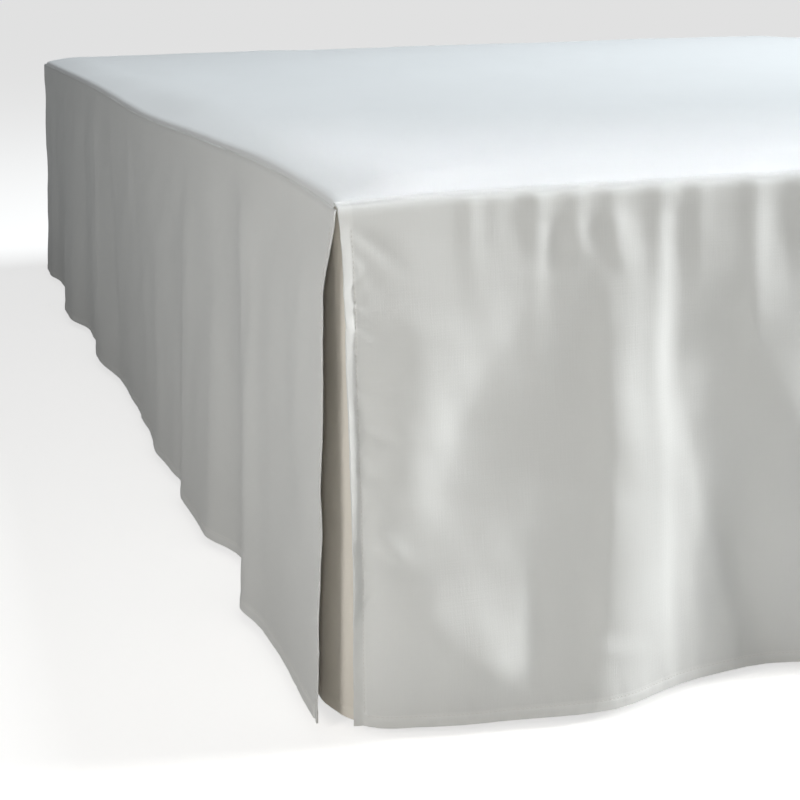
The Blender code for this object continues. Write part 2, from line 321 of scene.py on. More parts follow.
@dataclass(frozen=True)
class Swell:
    """The small unevenness that hanging cloth keeps: slow waves of several lengths in all directions."""

    seed: int
    waves: tuple[tuple[float, float], ...] = ((0.130, 0.0007), (0.070, 0.0004), (0.034, 0.00012))
    directions: int = 5

    def stand(self, across: np.ndarray, down: np.ndarray) -> np.ndarray:
        """How far the cloth stands out.

        Args:
            across: distance along the sheet.
            down: distance down it.

        Returns:
            The distance outwards.
        """
        chance = random.Random(self.seed)
        total = np.zeros(np.broadcast(across, down).shape)
        for length, height in self.waves:
            for _ in range(self.directions):
                angle = chance.uniform(0.0, math.pi)
                turn = chance.uniform(0.0, math.tau)
                rate = math.tau / (length * chance.uniform(0.75, 1.3))
                way = across * math.cos(angle) + down * math.sin(angle)
                total = total + np.sin(rate * way + turn) * height / math.sqrt(self.directions)
        return total


@dataclass(frozen=True)
class Hem:
    """A turned and stitched edge: it stands a little proud, dips at its stitches and puckers beside them.

    An upright hem is rounded: it leans down from its edge into the dip, which is wider there.
    """

    width: float
    seed: int
    rounded: bool = False
    proud: float = 0.0006
    dip: float = 0.0005
    pucker: float = 0.00045
    spread: float = 1.0

    def stand(self, inward: np.ndarray, on: np.ndarray) -> np.ndarray:
        """How far the hem stands out.

        Args:
            inward: distance in from the edge.
            on: distance along the edge.

        Returns:
            The distance outwards.
        """
        stitched = self.width - STITCH_INSET
        if self.rounded:
            band = 2.2 * self.proud * (1.0 - soft_step((inward - 0.0010) / (stitched - 0.0010)))
            dip_width = 0.0021
        else:
            band = self.proud * (1.0 - soft_step((inward - self.width + 0.0006) / 0.0014))
            dip_width = 0.0010
        line = self.dip * np.exp(-(((inward - stitched) / dip_width) ** 2))
        chance = random.Random(self.seed)
        length = float(np.max(on))
        waves = np.zeros(np.broadcast(inward, on).shape)
        at = chance.uniform(0.002, 0.010)
        near = inward < 0.060
        while at < length:
            large = chance.random() < 0.3
            size = self.pucker * chance.uniform(-1.0, 1.0) * (1.5 if large else 1.0)
            lean = chance.uniform(-1.5, 1.5) if self.rounded else chance.uniform(-0.6, 0.6)
            slope = chance.uniform(0.0035, 0.0060) if large else chance.uniform(0.0022, 0.0040)
            reach = chance.uniform(0.012, 0.022) if large else chance.uniform(0.005, 0.011)
            aside = (on - at - lean * (inward - stitched)) / slope
            down = (inward - stitched) / reach
            waves = waves + np.where(near, size * np.exp(-aside * aside - down * down), 0.0)
            at += chance.uniform(0.006, 0.012) * self.spread
        return band - line + waves

    def mask(self, inward: np.ndarray) -> np.ndarray:
        """1 on the hem's double cloth and 0 on the single cloth."""
        return 1.0 - soft_step((inward - self.width + 0.0004) / 0.0010)


LEFT_FOLDS = (
    Fold(0.000, 0.000, 0.000, 0.110, 0.005, 0.001),
    Fold(0.130, 0.114, 0.118, 0.047, 0.003, 0.020),
    Fold(0.280, 0.256, 0.000, 0.045, 0.004, 0.011),
    Fold(0.482, 0.495, 0.057, 0.044, 0.002, 0.023),
    Fold(0.650, 0.688, 0.030, 0.068, 0.000, 0.018),
    Fold(0.802, 0.826, 0.010, 0.078, 0.002, 0.013),
    Fold(1.062, 1.042, 0.060, 0.108, 0.000, 0.013),
    Fold(1.288, 1.215, 0.010, 0.068, 0.003, 0.020),
    Fold(1.356, 1.328, 0.030, 0.060, 0.000, 0.013),
    Fold(1.575, 1.555, 0.040, 0.088, 0.002, 0.034),
    Fold(1.770, 1.785, 0.030, 0.070, 0.000, 0.012),
    Fold(1.940, 1.955, 0.030, 0.060, 0.000, 0.024),
)
LEFT_DETAIL = (
    Crease((0.520, 0.10), (0.536, 0.78), 0.0016, 0.016, 0.028),
    Crease((0.252, 0.12), (0.262, 0.70), -0.0012, 0.016, 0.012),
    Crease((0.240, 0.04), (0.225, 0.95), 0.0010, 0.014, 0.020, 0.004),
    Crease((0.040, 0.51), (0.012, 0.55), -0.0008, 0.005, 0.007),
    Crease((0.034, 0.80), (0.010, 0.86), -0.0007, 0.005, 0.008),
    Crease((0.030, 0.27), (0.008, 0.31), -0.0005, 0.005, 0.007),
    Crease((0.050, 0.02), (0.095, 0.45), 0.0011, 0.020, 0.026, 0.006),
    Crease((0.140, 0.10), (0.120, 0.85), -0.0009, 0.024, 0.030, -0.006),
    Crease((0.185, 0.30), (0.170, 0.98), 0.0010, 0.018, 0.026),
    Crease((1.262, 0.05), (1.215, 0.95), 0.0024, 0.018, 0.026),
    Crease((1.150, 0.20), (1.090, 0.95), -0.0022, 0.026, 0.022),
    Crease((1.125, 0.02), (1.090, 0.40), 0.0014, 0.020, 0.026),
    Crease((0.965, 0.02), (0.945, 0.35), 0.0014, 0.020, 0.022),
    Crease((0.420, 0.15), (0.440, 0.80), -0.0012, 0.030, 0.026),
    Crease((0.745, 0.20), (0.720, 0.90), 0.0015, 0.026, 0.034, 0.008),
    Crease((1.420, 0.10), (1.450, 0.90), -0.0018, 0.030, 0.024),
    Crease((1.660, 0.15), (1.690, 0.85), 0.0018, 0.026, 0.030),
    Crease((1.850, 0.10), (1.870, 0.90), -0.0016, 0.026, 0.030),
    Dent((0.300, 0.45), 0.030, 0.090, 0.0010),
    Dent((0.640, 0.55), 0.045, 0.110, -0.0014),
)

FOOT_FOLDS = (
    Fold(0.000, 0.000, 0.000, 0.018, 0.000, -0.010),
    Fold(0.075, 0.084, 0.000, 0.064, 0.000, 0.025),
    Fold(0.212, 0.185, 0.000, 0.063, 0.004, 0.034),
    Fold(0.248, 0.330, 0.000, 0.028, -0.002, -0.001),
    Fold(0.310, 0.435, 0.015, 0.065, 0.005, 0.024),
    Fold(0.560, 0.600, 0.030, 0.058, 0.002, 0.031),
    Fold(0.735, 0.765, 0.010, 0.055, 0.003, 0.018),
    Fold(0.930, 0.905, 0.020, 0.062, 0.000, 0.033),
    Fold(1.085, 1.090, 0.015, 0.050, 0.004, 0.020),
    Fold(1.290, 1.260, 0.020, 0.068, 0.002, 0.036),
    Fold(1.440, 1.425, 0.000, 0.060, 0.000, 0.024),
    Fold(1.520, 1.520, 0.000, 0.020, 0.000, -0.008),
)
FOOT_DETAIL = (
    Crease((0.174, 0.05), (0.070, 0.50), -0.0030, 0.020, 0.040, -0.004),
    Dent((0.080, 0.47), 0.032, 0.075, -0.0018),
    Crease((0.192, 0.10), (0.192, 0.56), 0.0030, 0.014, 0.034),
    Crease((0.192, 0.52), (0.182, 0.87), 0.0034, 0.012, 0.034),
    Crease((0.182, 0.83), (0.164, 0.99), 0.0026, 0.011, 0.030),
    Crease((0.131, 0.66), (0.128, 0.98), -0.0020, 0.008, 0.016),
    Crease((0.189, 0.00), (0.206, 0.15), 0.0018, 0.008, 0.012),
    Crease((0.230, 0.00), (0.226, 0.42), 0.0016, 0.008, 0.011),
    Crease((0.228, 0.38), (0.234, 0.97), 0.0026, 0.040, 0.012, -0.003),
    Crease((0.246, 0.01), (0.248, 0.44), -0.0064, 0.042, 0.150),
    Crease((0.262, 0.02), (0.268, 0.46), 0.0026, 0.020, 0.034),
    Crease((0.242, 0.00), (0.244, 0.40), -0.0015, 0.010, 0.030),
    Crease((0.249, 0.04), (0.253, 0.38), -0.0014, 0.009, 0.035),
    Crease((0.253, 0.34), (0.297, 0.78), -0.0026, 0.014, 0.046, -0.005),
    Crease((0.297, 0.74), (0.330, 0.98), -0.0018, 0.012, 0.020),
    Crease((0.049, 0.14), (0.045, 0.46), 0.0036, 0.020, 0.024, 0.003),
    Crease((0.100, 0.34), (0.064, 0.62), -0.0032, 0.024, 0.048),
    Crease((0.150, 0.00), (0.147, 0.15), -0.0022, 0.030, 0.012),
    Crease((0.004, 0.00), (0.038, 0.090), -0.0014, 0.004, 0.006),
    Crease((0.012, 0.06), (0.026, 0.150), -0.0010, 0.005, 0.007),
    Crease((0.010, 0.350), (0.042, 0.305), 0.0012, 0.005, 0.005),
    Crease((0.010, 0.390), (0.036, 0.430), -0.0018, 0.0045, 0.005),
    Crease((0.010, 0.480), (0.028, 0.500), -0.0010, 0.004, 0.005),
    Crease((0.010, 0.585), (0.040, 0.660), 0.0016, 0.005, 0.007),
    Crease((0.012, 0.74), (0.125, 0.93), 0.0070, 0.024, 0.034, 0.004),
    Crease((0.010, 0.99), (0.140, 1.02), -0.0050, 0.030, 0.030),
    Crease((0.024, 0.48), (0.026, 0.74), 0.0032, 0.020, 0.050),
    Crease((0.000, 0.22), (0.000, 0.90), 0.0062, 0.005, 0.0075),
    Crease((0.160, 0.03), (0.176, 0.12), 0.0012, 0.008, 0.010),
    Crease((0.300, 0.10), (0.345, 0.62), 0.0022, 0.018, 0.024, 0.006),
    Crease((0.440, 0.20), (0.470, 0.88), -0.0022, 0.022, 0.016),
    Crease((0.545, 0.08), (0.590, 0.80), 0.0026, 0.014, 0.022, -0.006),
    Crease((0.660, 0.25), (0.690, 0.95), -0.0024, 0.018, 0.014),
    Crease((0.748, 0.05), (0.765, 0.70), 0.0020, 0.014, 0.020),
    Crease((0.900, 0.18), (0.862, 0.90), 0.0028, 0.016, 0.024, 0.008),
    Crease((1.010, 0.15), (0.990, 0.92), -0.0024, 0.020, 0.014),
    Crease((1.095, 0.06), (1.100, 0.85), 0.0022, 0.015, 0.019),
    Crease((1.190, 0.20), (1.165, 0.95), -0.0020, 0.018, 0.020),
    Crease((1.300, 0.05), (1.262, 0.88), 0.0028, 0.015, 0.024, -0.006),
    Crease((1.370, 0.30), (1.355, 0.95), -0.0020, 0.014, 0.018),
    Crease((1.450, 0.30), (1.470, 0.80), 0.0014, 0.014, 0.016),
    Crease((1.512, 0.36), (1.486, 0.41), -0.0013, 0.005, 0.005),
    Crease((1.512, 0.64), (1.480, 0.70), 0.0013, 0.006, 0.006),
)
NEAR_GATHERS = (
    Gather(0.091, 0.0070, 0.0017, 0.10),
    Gather(0.110, 0.0060, 0.0010, 0.06),
    Gather(0.139, 0.0080, 0.0030, 0.15),
    Gather(0.168, 0.0070, 0.0015, 0.09),
    Gather(0.196, 0.0080, 0.0018, 0.10),
    Gather(0.232, 0.0090, 0.0024, 0.14),
    Gather(0.262, 0.0085, 0.0018, 0.12),
)
GATHER_START_AT = 0.270
GATHER_PITCHES = (0.028, 0.040)
GATHER_SLOPE = 0.010
GATHER_DEPTHS = (0.0012, 0.0036)
GATHER_REACHES = (0.08, 0.32)
GATHER_SEED = 5
GATHER_MARGIN = 0.110

RIGHT_FOLDS = (
    Fold(0.120, 0.110, 0.110, 0.050, 0.000, 0.018),
    Fold(0.300, 0.275, 0.000, 0.055, 0.003, 0.014),
    Fold(0.520, 0.540, 0.040, 0.070, 0.002, 0.027),
    Fold(0.760, 0.735, 0.020, 0.065, 0.000, 0.015),
    Fold(0.980, 1.010, 0.050, 0.085, 0.003, 0.024),
    Fold(1.260, 1.235, 0.020, 0.060, 0.000, 0.017),
    Fold(1.480, 1.500, 0.040, 0.090, 0.002, 0.030),
    Fold(1.740, 1.760, 0.030, 0.075, 0.000, 0.014),
    Fold(1.940, 1.950, 0.030, 0.060, 0.000, 0.022),
)
RIGHT_DETAIL = (
    Crease((0.060, 0.05), (0.100, 0.55), 0.0012, 0.020, 0.026, 0.006),
    Crease((0.035, 0.45), (0.010, 0.50), -0.0008, 0.005, 0.007),
    Crease((0.175, 0.20), (0.160, 0.95), 0.0011, 0.018, 0.026),
    Crease((0.235, 0.10), (0.220, 0.90), -0.0014, 0.020, 0.016),
    Crease((0.400, 0.15), (0.410, 0.90), -0.0016, 0.026, 0.022),
    Crease((0.510, 0.05), (0.545, 0.85), 0.0020, 0.018, 0.028, 0.006),
    Crease((0.650, 0.25), (0.640, 0.90), -0.0014, 0.024, 0.020),
    Crease((0.765, 0.10), (0.740, 0.80), 0.0016, 0.020, 0.024),
    Crease((0.965, 0.10), (1.000, 0.90), 0.0018, 0.022, 0.030, -0.008),
    Crease((1.130, 0.15), (1.120, 0.95), -0.0018, 0.024, 0.028),
    Crease((1.255, 0.05), (1.240, 0.75), 0.0016, 0.018, 0.022),
    Crease((1.470, 0.10), (1.510, 0.90), 0.0020, 0.024, 0.030, 0.010),
    Crease((1.630, 0.20), (1.640, 0.90), -0.0016, 0.026, 0.022),
    Crease((1.850, 0.10), (1.860, 0.90), -0.0016, 0.024, 0.028),
)

# Distances from the middle of the corner: the side leg is negative, the foot leg positive
LEFT_UNDERLAP_FOLDS = (
    Fold(-0.090, -0.090, 0.040, 0.030, 0.000, 0.010),
    Fold(0.012, 0.012, 0.004, 0.014, 0.000, -0.002),
    Fold(0.110, 0.120, 0.020, 0.040, 0.000, 0.009),
)
RIGHT_UNDERLAP_FOLDS = (
    Fold(-0.095, -0.095, 0.035, 0.030, 0.000, 0.008),
    Fold(0.010, 0.010, 0.004, 0.014, 0.000, -0.003),
    Fold(0.110, 0.115, 0.020, 0.040, 0.000, 0.008),
)


class NodeKit:
    """Short ways to add and join shader nodes in one tree."""

    def __init__(self, tree: bpy.types.NodeTree) -> None:
        """Keeps the tree."""
        self.tree = tree

    def add(self, kind: str, **settings: object) -> bpy.types.Node:
        """Adds a node of a kind and sets its properties."""
        node = self.tree.nodes.new(kind)
        for name, value in settings.items():
            setattr(node, name, value)
        return node

    def join(self, source: bpy.types.NodeSocket, target: bpy.types.NodeSocket) -> None:
        """Links an output to an input."""
        self.tree.links.new(source, target)

    def math(self, operation: str, first: object, second: object = 0.0) -> bpy.types.NodeSocket:
        """A Math node on two sockets or numbers, and its output."""
        node = self.add("ShaderNodeMath", operation=operation)
        for place, value in enumerate((first, second)):
            if isinstance(value, bpy.types.NodeSocket):
                self.join(value, node.inputs[place])
            else:
                node.inputs[place].default_value = float(value)
        return node.outputs[0]

    def noise(self, place: bpy.types.NodeSocket, stretch: Triple, detail: float) -> bpy.types.NodeSocket:
        """Noise of about 0 to 1 whose grains are `stretch` metres in size.

        Args:
            place: the coordinates, in metres.
            stretch: grain size along each axis.
            detail: octaves of detail.

        Returns:
            The noise value.
        """
        mapping = self.add("ShaderNodeMapping")
        mapping.inputs["Scale"].default_value = tuple(1.0 / size for size in stretch)
        self.join(place, mapping.inputs["Vector"])
        texture = self.add("ShaderNodeTexNoise", noise_dimensions="3D")
        texture.inputs["Scale"].default_value = 1.0
        texture.inputs["Detail"].default_value = detail
        texture.inputs["Roughness"].default_value = 0.55
        self.join(mapping.outputs[0], texture.inputs["Vector"])
        return texture.outputs["Fac"]

    def blend(self, share: bpy.types.NodeSocket, dark: Triple, light: Triple) -> bpy.types.NodeSocket:
        """A colour between two, by a share from 0 to 1."""
        mix = self.add("ShaderNodeMix", data_type="RGBA")
        mix.inputs[6].default_value = (*dark, 1.0)
        mix.inputs[7].default_value = (*light, 1.0)
        self.join(share, mix.inputs[0])
        return mix.outputs[2]


class Paint(NodeKit):
    """A new material's tree, with its Principled shader."""

    def __init__(self, name: str, **inputs: float) -> None:
        """Makes the material and sets the shader's inputs, named with _ for each space."""
        self.material = bpy.data.materials.new(name)
        self.material.use_nodes = True
        super().__init__(self.material.node_tree)
        self.shader = self.tree.nodes["Principled BSDF"]
        for key, value in inputs.items():
            self.shader.inputs[key.replace("_", " ")].default_value = value

    def object_place(self) -> bpy.types.NodeSocket:
        """The place in the object's own coordinates, in metres."""
        return self.add("ShaderNodeTexCoord").outputs["Object"]

    def colour(self, source: bpy.types.NodeSocket) -> None:
        """Gives the shader its colour."""
        self.join(source, self.shader.inputs["Base Color"])

    def relief(self, height: bpy.types.NodeSocket, distance: float) -> None:
        """Gives the shader fine relief of so many metres."""
        bump = self.add("ShaderNodeBump")
        bump.inputs["Strength"].default_value = 1.0
        bump.inputs["Distance"].default_value = distance
        self.join(height, bump.inputs["Height"])
        self.join(bump.outputs["Normal"], self.shader.inputs["Normal"])


@dataclass(frozen=True)
class Finish:
    """A material of one name, made once."""

    name: str

    def make(self) -> bpy.types.Material:
        """The material, made on first use."""
        return bpy.data.materials.get(self.name) or self.paint()

    def paint(self) -> bpy.types.Material:
        """Makes the material."""
        raise NotImplementedError


class WeaveGroup:
    """The shared plain weave: crossing threads, thick and thin places, and a slow change of tone."""

    NAME = "plain_weave"

    @classmethod
    def get(cls) -> bpy.types.NodeTree:
        """The group, made on first use. It takes a place in metres and gives Height and Tone."""
        made = bpy.data.node_groups.get(cls.NAME)
        if made:
            return made
        group = bpy.data.node_groups.new(cls.NAME, "ShaderNodeTree")
        sockets = group.interface
        sockets.new_socket("Place", in_out="INPUT", socket_type="NodeSocketVector")
        for name, value in (("Thread Pitch", 0.0005), ("Slub Depth", 0.5), ("Cloud Depth", 0.3)):
            socket = sockets.new_socket(name, in_out="INPUT", socket_type="NodeSocketFloat")
            socket.default_value = value
        sockets.new_socket("Height", in_out="OUTPUT", socket_type="NodeSocketFloat")
        sockets.new_socket("Tone", in_out="OUTPUT", socket_type="NodeSocketFloat")
        kit = NodeKit(group)
        given = kit.add("NodeGroupInput")
        result = kit.add("NodeGroupOutput")
        place = given.outputs["Place"]
        split = kit.add("ShaderNodeSeparateXYZ")
        kit.join(place, split.inputs[0])
        rate = kit.math("DIVIDE", math.pi, given.outputs["Thread Pitch"])
        warp = kit.math("SINE", kit.math("MULTIPLY", split.outputs["X"], rate))
        weft = kit.math("SINE", kit.math("MULTIPLY", split.outputs["Y"], rate))
        threads = kit.math("MULTIPLY", warp, weft)
        down_threads = kit.noise(place, (0.0011, 0.026, 1.0), 2.0)
        cross_threads = kit.noise(place, (0.030, 0.0012, 1.0), 2.0)
        slubs = kit.math("ADD", down_threads, cross_threads)
        slubs = kit.math("SUBTRACT", slubs, 1.0)
        slubs = kit.math("MULTIPLY", slubs, given.outputs["Slub Depth"])
        fine = kit.math("MULTIPLY", threads, 0.16)
        height = kit.math("ADD", slubs, fine)
        cloud = kit.math("SUBTRACT", kit.noise(place, (0.060, 0.085, 1.0), 3.0), 0.5)
        cloud = kit.math("MULTIPLY", cloud, given.outputs["Cloud Depth"])
        tone = kit.math("ADD", kit.math("MULTIPLY", slubs, 0.6), cloud)
        kit.join(height, result.inputs["Height"])
        kit.join(kit.math("ADD", tone, 0.5), result.inputs["Tone"])
        return group


@dataclass(frozen=True)
class Cotton(Finish):
    """Matt plain-weave cotton that follows the sheet's own map, lighter on its double hems."""

    dark: Triple
    light: Triple
    hem: Triple
    slub_depth: float = 0.42
    cloud_depth: float = 0.35
    thread_height: float = 0.00016
    roughness: float = 0.92
    sheen: float = 0.12

    def paint(self) -> bpy.types.Material:
        """Makes the material."""
        kit = Paint(self.name, Roughness=self.roughness, Sheen_Weight=self.sheen, Sheen_Roughness=0.6,
                    Specular_IOR_Level=0.18)
        weave = kit.add("ShaderNodeGroup", node_tree=WeaveGroup.get())
        weave.inputs["Slub Depth"].default_value = self.slub_depth
        weave.inputs["Cloud Depth"].default_value = self.cloud_depth
        kit.join(kit.add("ShaderNodeUVMap", uv_map="cloth").outputs["UV"], weave.inputs["Place"])
        hem = kit.add("ShaderNodeAttribute", attribute_name="hem", attribute_type="GEOMETRY")
        double = kit.add("ShaderNodeMix", data_type="RGBA")
        double.inputs[7].default_value = (*self.hem, 1.0)
        kit.join(kit.math("MULTIPLY", hem.outputs["Fac"], 0.6), double.inputs[0])
        kit.join(kit.blend(weave.outputs["Tone"], self.dark, self.light), double.inputs[6])
        kit.colour(double.outputs[2])
        kit.relief(weave.outputs["Height"], self.thread_height)
        return kit.material


PANEL_COTTON = Cotton("panel_cotton", (0.745, 0.757, 0.748), (0.800, 0.812, 0.803), (0.83, 0.84, 0.83))
# The deck cotton's slight blue tint is painted light, standing for the bluish light from above.
DECK_COTTON = Cotton("deck_cotton", (0.825, 0.840, 0.842), (0.875, 0.888, 0.890), (0.88, 0.89, 0.89))
# Painted warm shade: the underlap's tan tint stands for warm bounce light in the shaded slit, on cloth as
# white as the panels'.
UNDERLAP_WARM_SHADE_COTTON = Cotton("underlap_cotton_warm_shade", (0.820, 0.780, 0.710), (0.870, 0.830, 0.760), (0.88, 0.84, 0.77))


@dataclass(frozen=True)
class Thread(Finish):
    """Twisted cotton sewing thread."""

    name: str = "sewing_thread"
    colour: Triple = (0.80, 0.795, 0.77)
    shade: Triple = (0.66, 0.655, 0.63)

    def paint(self) -> bpy.types.Material:
        """Makes the material."""
        kit = Paint(self.name, Roughness=0.75, Sheen_Weight=0.1)
        twist = kit.noise(kit.object_place(), (0.0009, 0.0009, 0.0009), 2.0)
        kit.colour(kit.blend(twist, self.shade, self.colour))
        kit.relief(twist, 0.0001)
        return kit.material


@dataclass(frozen=True)
class BaseCover(Finish):
    """The base's plain woven cover, on Object coordinates."""

    dark: Triple
    light: Triple
    grain: float = 0.0022
    height: float = 0.0004
    roughness: float = 0.95

    def paint(self) -> bpy.types.Material:
        """Makes the material."""
        kit = Paint(self.name, Roughness=self.roughness, Specular_IOR_Level=0.2)
        place = kit.object_place()
        level = kit.noise(place, (0.030, 0.030, self.grain), 2.0)
        upright = kit.noise(place, (self.grain, self.grain, 0.030), 2.0)
        cloud = kit.noise(place, (0.15, 0.15, 0.12), 3.0)
        weave = kit.math("MULTIPLY", kit.math("ADD", level, upright), 0.5)
        tone = kit.math("ADD", kit.math("MULTIPLY", weave, 0.7), kit.math("MULTIPLY", cloud, 0.3))
        kit.colour(kit.blend(tone, self.dark, self.light))
        kit.relief(weave, self.height)
        return kit.material


BASE_BORDER = BaseCover("base_border_cloth", (0.50, 0.50, 0.48), (0.68, 0.68, 0.66))
BASE_TAPE = BaseCover("base_edge_tape", (0.66, 0.65, 0.62), (0.78, 0.77, 0.74), 0.0012, 0.0003)


@dataclass(frozen=True)
class LegWood(Finish):
    """Stained hardwood with upright grain and a satin finish."""

    name: str = "turned_leg_wood"
    dark: Triple = (0.15, 0.080, 0.040)
    light: Triple = (0.36, 0.215, 0.118)

    def paint(self) -> bpy.types.Material:
        """Makes the material."""
        kit = Paint(self.name, Coat_Weight=0.25, Coat_Roughness=0.35)
        place = kit.object_place()
        bands = kit.noise(place, (0.008, 0.011, 0.160), 3.0)
        pores = kit.noise(place, (0.0009, 0.0009, 0.020), 2.0)
        grain = kit.math("ADD", kit.math("MULTIPLY", bands, 0.7), kit.math("MULTIPLY", pores, 0.3))
        ramp = kit.add("ShaderNodeValToRGB")
        for stop, position, colour in zip(ramp.color_ramp.elements, (0.32, 0.68), (self.dark, self.light)):
            stop.position = position
            stop.color = (*colour, 1.0)
        kit.join(grain, ramp.inputs["Fac"])
        kit.colour(ramp.outputs["Color"])
        kit.join(kit.math("ADD", kit.math("MULTIPLY", pores, 0.3), 0.35), kit.shader.inputs["Roughness"])
        kit.relief(grain, 0.0002)
        return kit.material


def finish_piece(
    name: str, bm: bmesh.types.BMesh, material: bpy.types.Material
) -> bpy.types.Object:
    """Turns a bmesh into a smooth piece that rides on the body and has its material.

    Args:
        name: the piece's name.
        bm: its mesh, which is used up.
        material: its finish.

    Returns:
        The piece.
    """
    mesh = bpy.data.meshes.new(name)
    bm.to_mesh(mesh)
    bm.free()
    mesh.materials.append(material)
    mesh.shade_smooth()
    piece = bpy.data.objects.new(name, mesh)
    bpy.context.scene.collection.objects.link(piece)
    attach(piece, BODY)
    return piece


@dataclass(frozen=True)
class Row:
    """One level of a hanging sheet.

    It holds how far inside the outer face it lies, its height, its share of the fall, how much of
    a gather it shows, the way that it faces (outwards, upwards), and its distance from the seam.
    """

    inset: float
    height: float
    fall: float
    gathered: float
    outwards: float
    upwards: float
    down: float


def hanging_rows(layer: float, seam_inset: float, hang_pitch: float) -> list[Row]:
    """The levels of a sheet from its hem, up over the roll, to its seam.

    Args:
        layer: how far the sheet lies inside the outer face.
        seam_inset: where its seam lies, in from the outer face, on the roll or on the flat beyond it.
        hang_pitch: about how far apart the levels are on the hanging part.

    Returns:
        The levels, the hem first.
    """
    radius = ROLL_RADIUS - layer
    quarter = radius * math.radians(90.0)
    if seam_inset < ROLL_RADIUS:
        over = radius * math.acos((ROLL_RADIUS - seam_inset) / radius)
    else:
        over = quarter + seam_inset - ROLL_RADIUS
    rows = []
    hang = (FALL_LENGTH - 0.024, hang_pitch), (FALL_LENGTH, 0.0027)
    for raised in graded(*hem_stops(HEM_WIDTH, 0.0020), *hang):
        fall = 1.0 - raised / FALL_LENGTH
        rows.append(Row(layer, HEM_HEIGHT + raised, fall, 1.0, 1.0, 0.0, over + FALL_LENGTH - raised))
    for share in (0.13, 0.26, 0.39, 0.52, 0.64, 0.75, 0.84, 0.91, 0.96, 1.0):
        path = over * share
        turn = min(path / radius, math.radians(90.0))
        flat = max(path - quarter, 0.0)
        sink = SEAM_SINK * float(1.0 - soft_step(np.array((over - path) / 0.0016)))
        rows.append(Row(
            ROLL_RADIUS - radius * math.cos(turn) + flat + sink * math.cos(turn),
            ROLL_FOOT + radius * math.sin(turn) - sink * math.sin(turn),
            0.0,
            (1.0 - 0.6 * turn / math.radians(90.0)) * (1.0 - 0.6 * flat / 0.003),
            math.cos(turn),
            math.sin(turn),
            over - path,
        ))
    return rows


def row_columns(rows: Sequence[Row]) -> tuple[np.ndarray, ...]:
    """The rows' values, each as a column, in the order of a row."""
    return tuple(np.array([getattr(row, item.name) for row in rows])[:, None] for item in fields(Row))


@dataclass
class ClothGrid:
    """The places of one sheet's points, level by level, with what its finish reads."""

    points: np.ndarray
    map_u: np.ndarray
    map_v: np.ndarray
    hem: np.ndarray

    def build(self, name: str, material: bpy.types.Material, slot: Slot, thick: float) -> bpy.types.Object:
        """Makes the sheet, with its thickness and soft edges as modifiers.

        Args:
            name: the piece's name.
            material: its finish.
            slot: the slot for it, which is not used.
            thick: the thickness of its hems.

        Returns:
            The piece.
        """
        levels, columns = self.points.shape[:2]
        bm = bmesh.new()
        bmesh.ops.create_grid(bm, x_segments=columns - 1, y_segments=levels - 1, size=0.5)
        uv = bm.loops.layers.uv.new("cloth")
        hem = bm.verts.layers.float.new("hem")
        deform = bm.verts.layers.deform.new()
        spots = {}
        for vert in bm.verts:
            spot = (round((vert.co.y + 0.5) * (levels - 1)), round((vert.co.x + 0.5) * (columns - 1)))
            spots[vert] = spot
        for vert, spot in spots.items():
            vert.co = self.points[spot]
            vert[hem] = float(self.hem[spot])
            vert[deform][0] = float(self.hem[spot])
        for face in bm.faces:
            for loop in face.loops:
                spot = spots[loop.vert]
                loop[uv].uv = (float(self.map_u[spot]), float(self.map_v[spot]))
        piece = finish_piece(name, bm, material)
        group = piece.vertex_groups.new(name="hem")
        wall = piece.modifiers.new("cloth_thickness", "SOLIDIFY")
        wall.thickness = thick
        wall.offset = -1.0
        wall.use_even_offset = True
        wall.vertex_group = group.name
        wall.thickness_vertex_group = 0.65
        edge = piece.modifiers.new("soft_edges", "BEVEL")
        edge.width = 0.0004
        edge.segments = 2
        edge.limit_method = "ANGLE"
        edge.angle_limit = math.radians(60.0)
        return piece


@dataclass
class Stitching:
    """A row of lockstitches along a line of a cloth's surface, each a short raised loop of thread."""

    name: str
    lines: list[tuple[np.ndarray, np.ndarray]] = field(default_factory=list)
    thickness: float = 0.00042
    seed: int = 3

    def build(self) -> bpy.types.Object:
        """Makes all stitches as one piece.

        Returns:
            The piece.
        """
        places = [place for points, normals in self.lines for place in self.places(points, normals)]
        bm = bmesh.new()
        batch = bpy.data.meshes.new("stitch_batch")
        for first in range(0, len(places), STITCH_BATCH):
            few = bmesh.new()
            for place in places[first:first + STITCH_BATCH]:
                bmesh.ops.create_uvsphere(few, u_segments=6, v_segments=4, radius=1.0, matrix=place)
            few.to_mesh(batch)
            few.free()
            bm.from_mesh(batch)
        bpy.data.meshes.remove(batch)
        return finish_piece(self.name, bm, Thread().make())

    def places(self, points: np.ndarray, normals: np.ndarray) -> list[Matrix]:
        """Where each stitch of one line lies, and its size.

        Args:
            points: the line's points.
            normals: the way that the cloth faces at each.

        Returns:
            A matrix for each stitch.
        """
        chance = random.Random(self.seed + len(points))
        steps = np.linalg.norm(np.diff(points, axis=0), axis=1)
        reach = np.concatenate(([0.0], np.cumsum(steps)))
        found = []
        at = STITCH_PITCH
        while at < reach[-1] - STITCH_PITCH:
            place = self._read(reach, points, at)
            ahead = self._read(reach, points, at + STITCH_LENGTH / 2)
            behind = self._read(reach, points, at - STITCH_LENGTH / 2)
            facing = self._read(reach, normals, at).normalized()
            run = (ahead - behind).normalized()
            side = facing.cross(run).normalized()
            turned = Matrix((run, side, facing)).transposed().to_4x4()
            turned.translation = place + facing * self.thickness * 0.30
            length = STITCH_LENGTH * chance.uniform(0.44, 0.50)
            found.append(turned @ Matrix.Diagonal((length, self.thickness * 0.5, self.thickness * 0.42, 1.0)))
            at += STITCH_PITCH * chance.uniform(0.96, 1.04)
        return found

    @staticmethod
    def _read(reach: np.ndarray, values: np.ndarray, at: float) -> Vector:
        """The value of a line at a distance along it."""
        return Vector([float(np.interp(at, reach, values[:, axis])) for axis in range(3)])


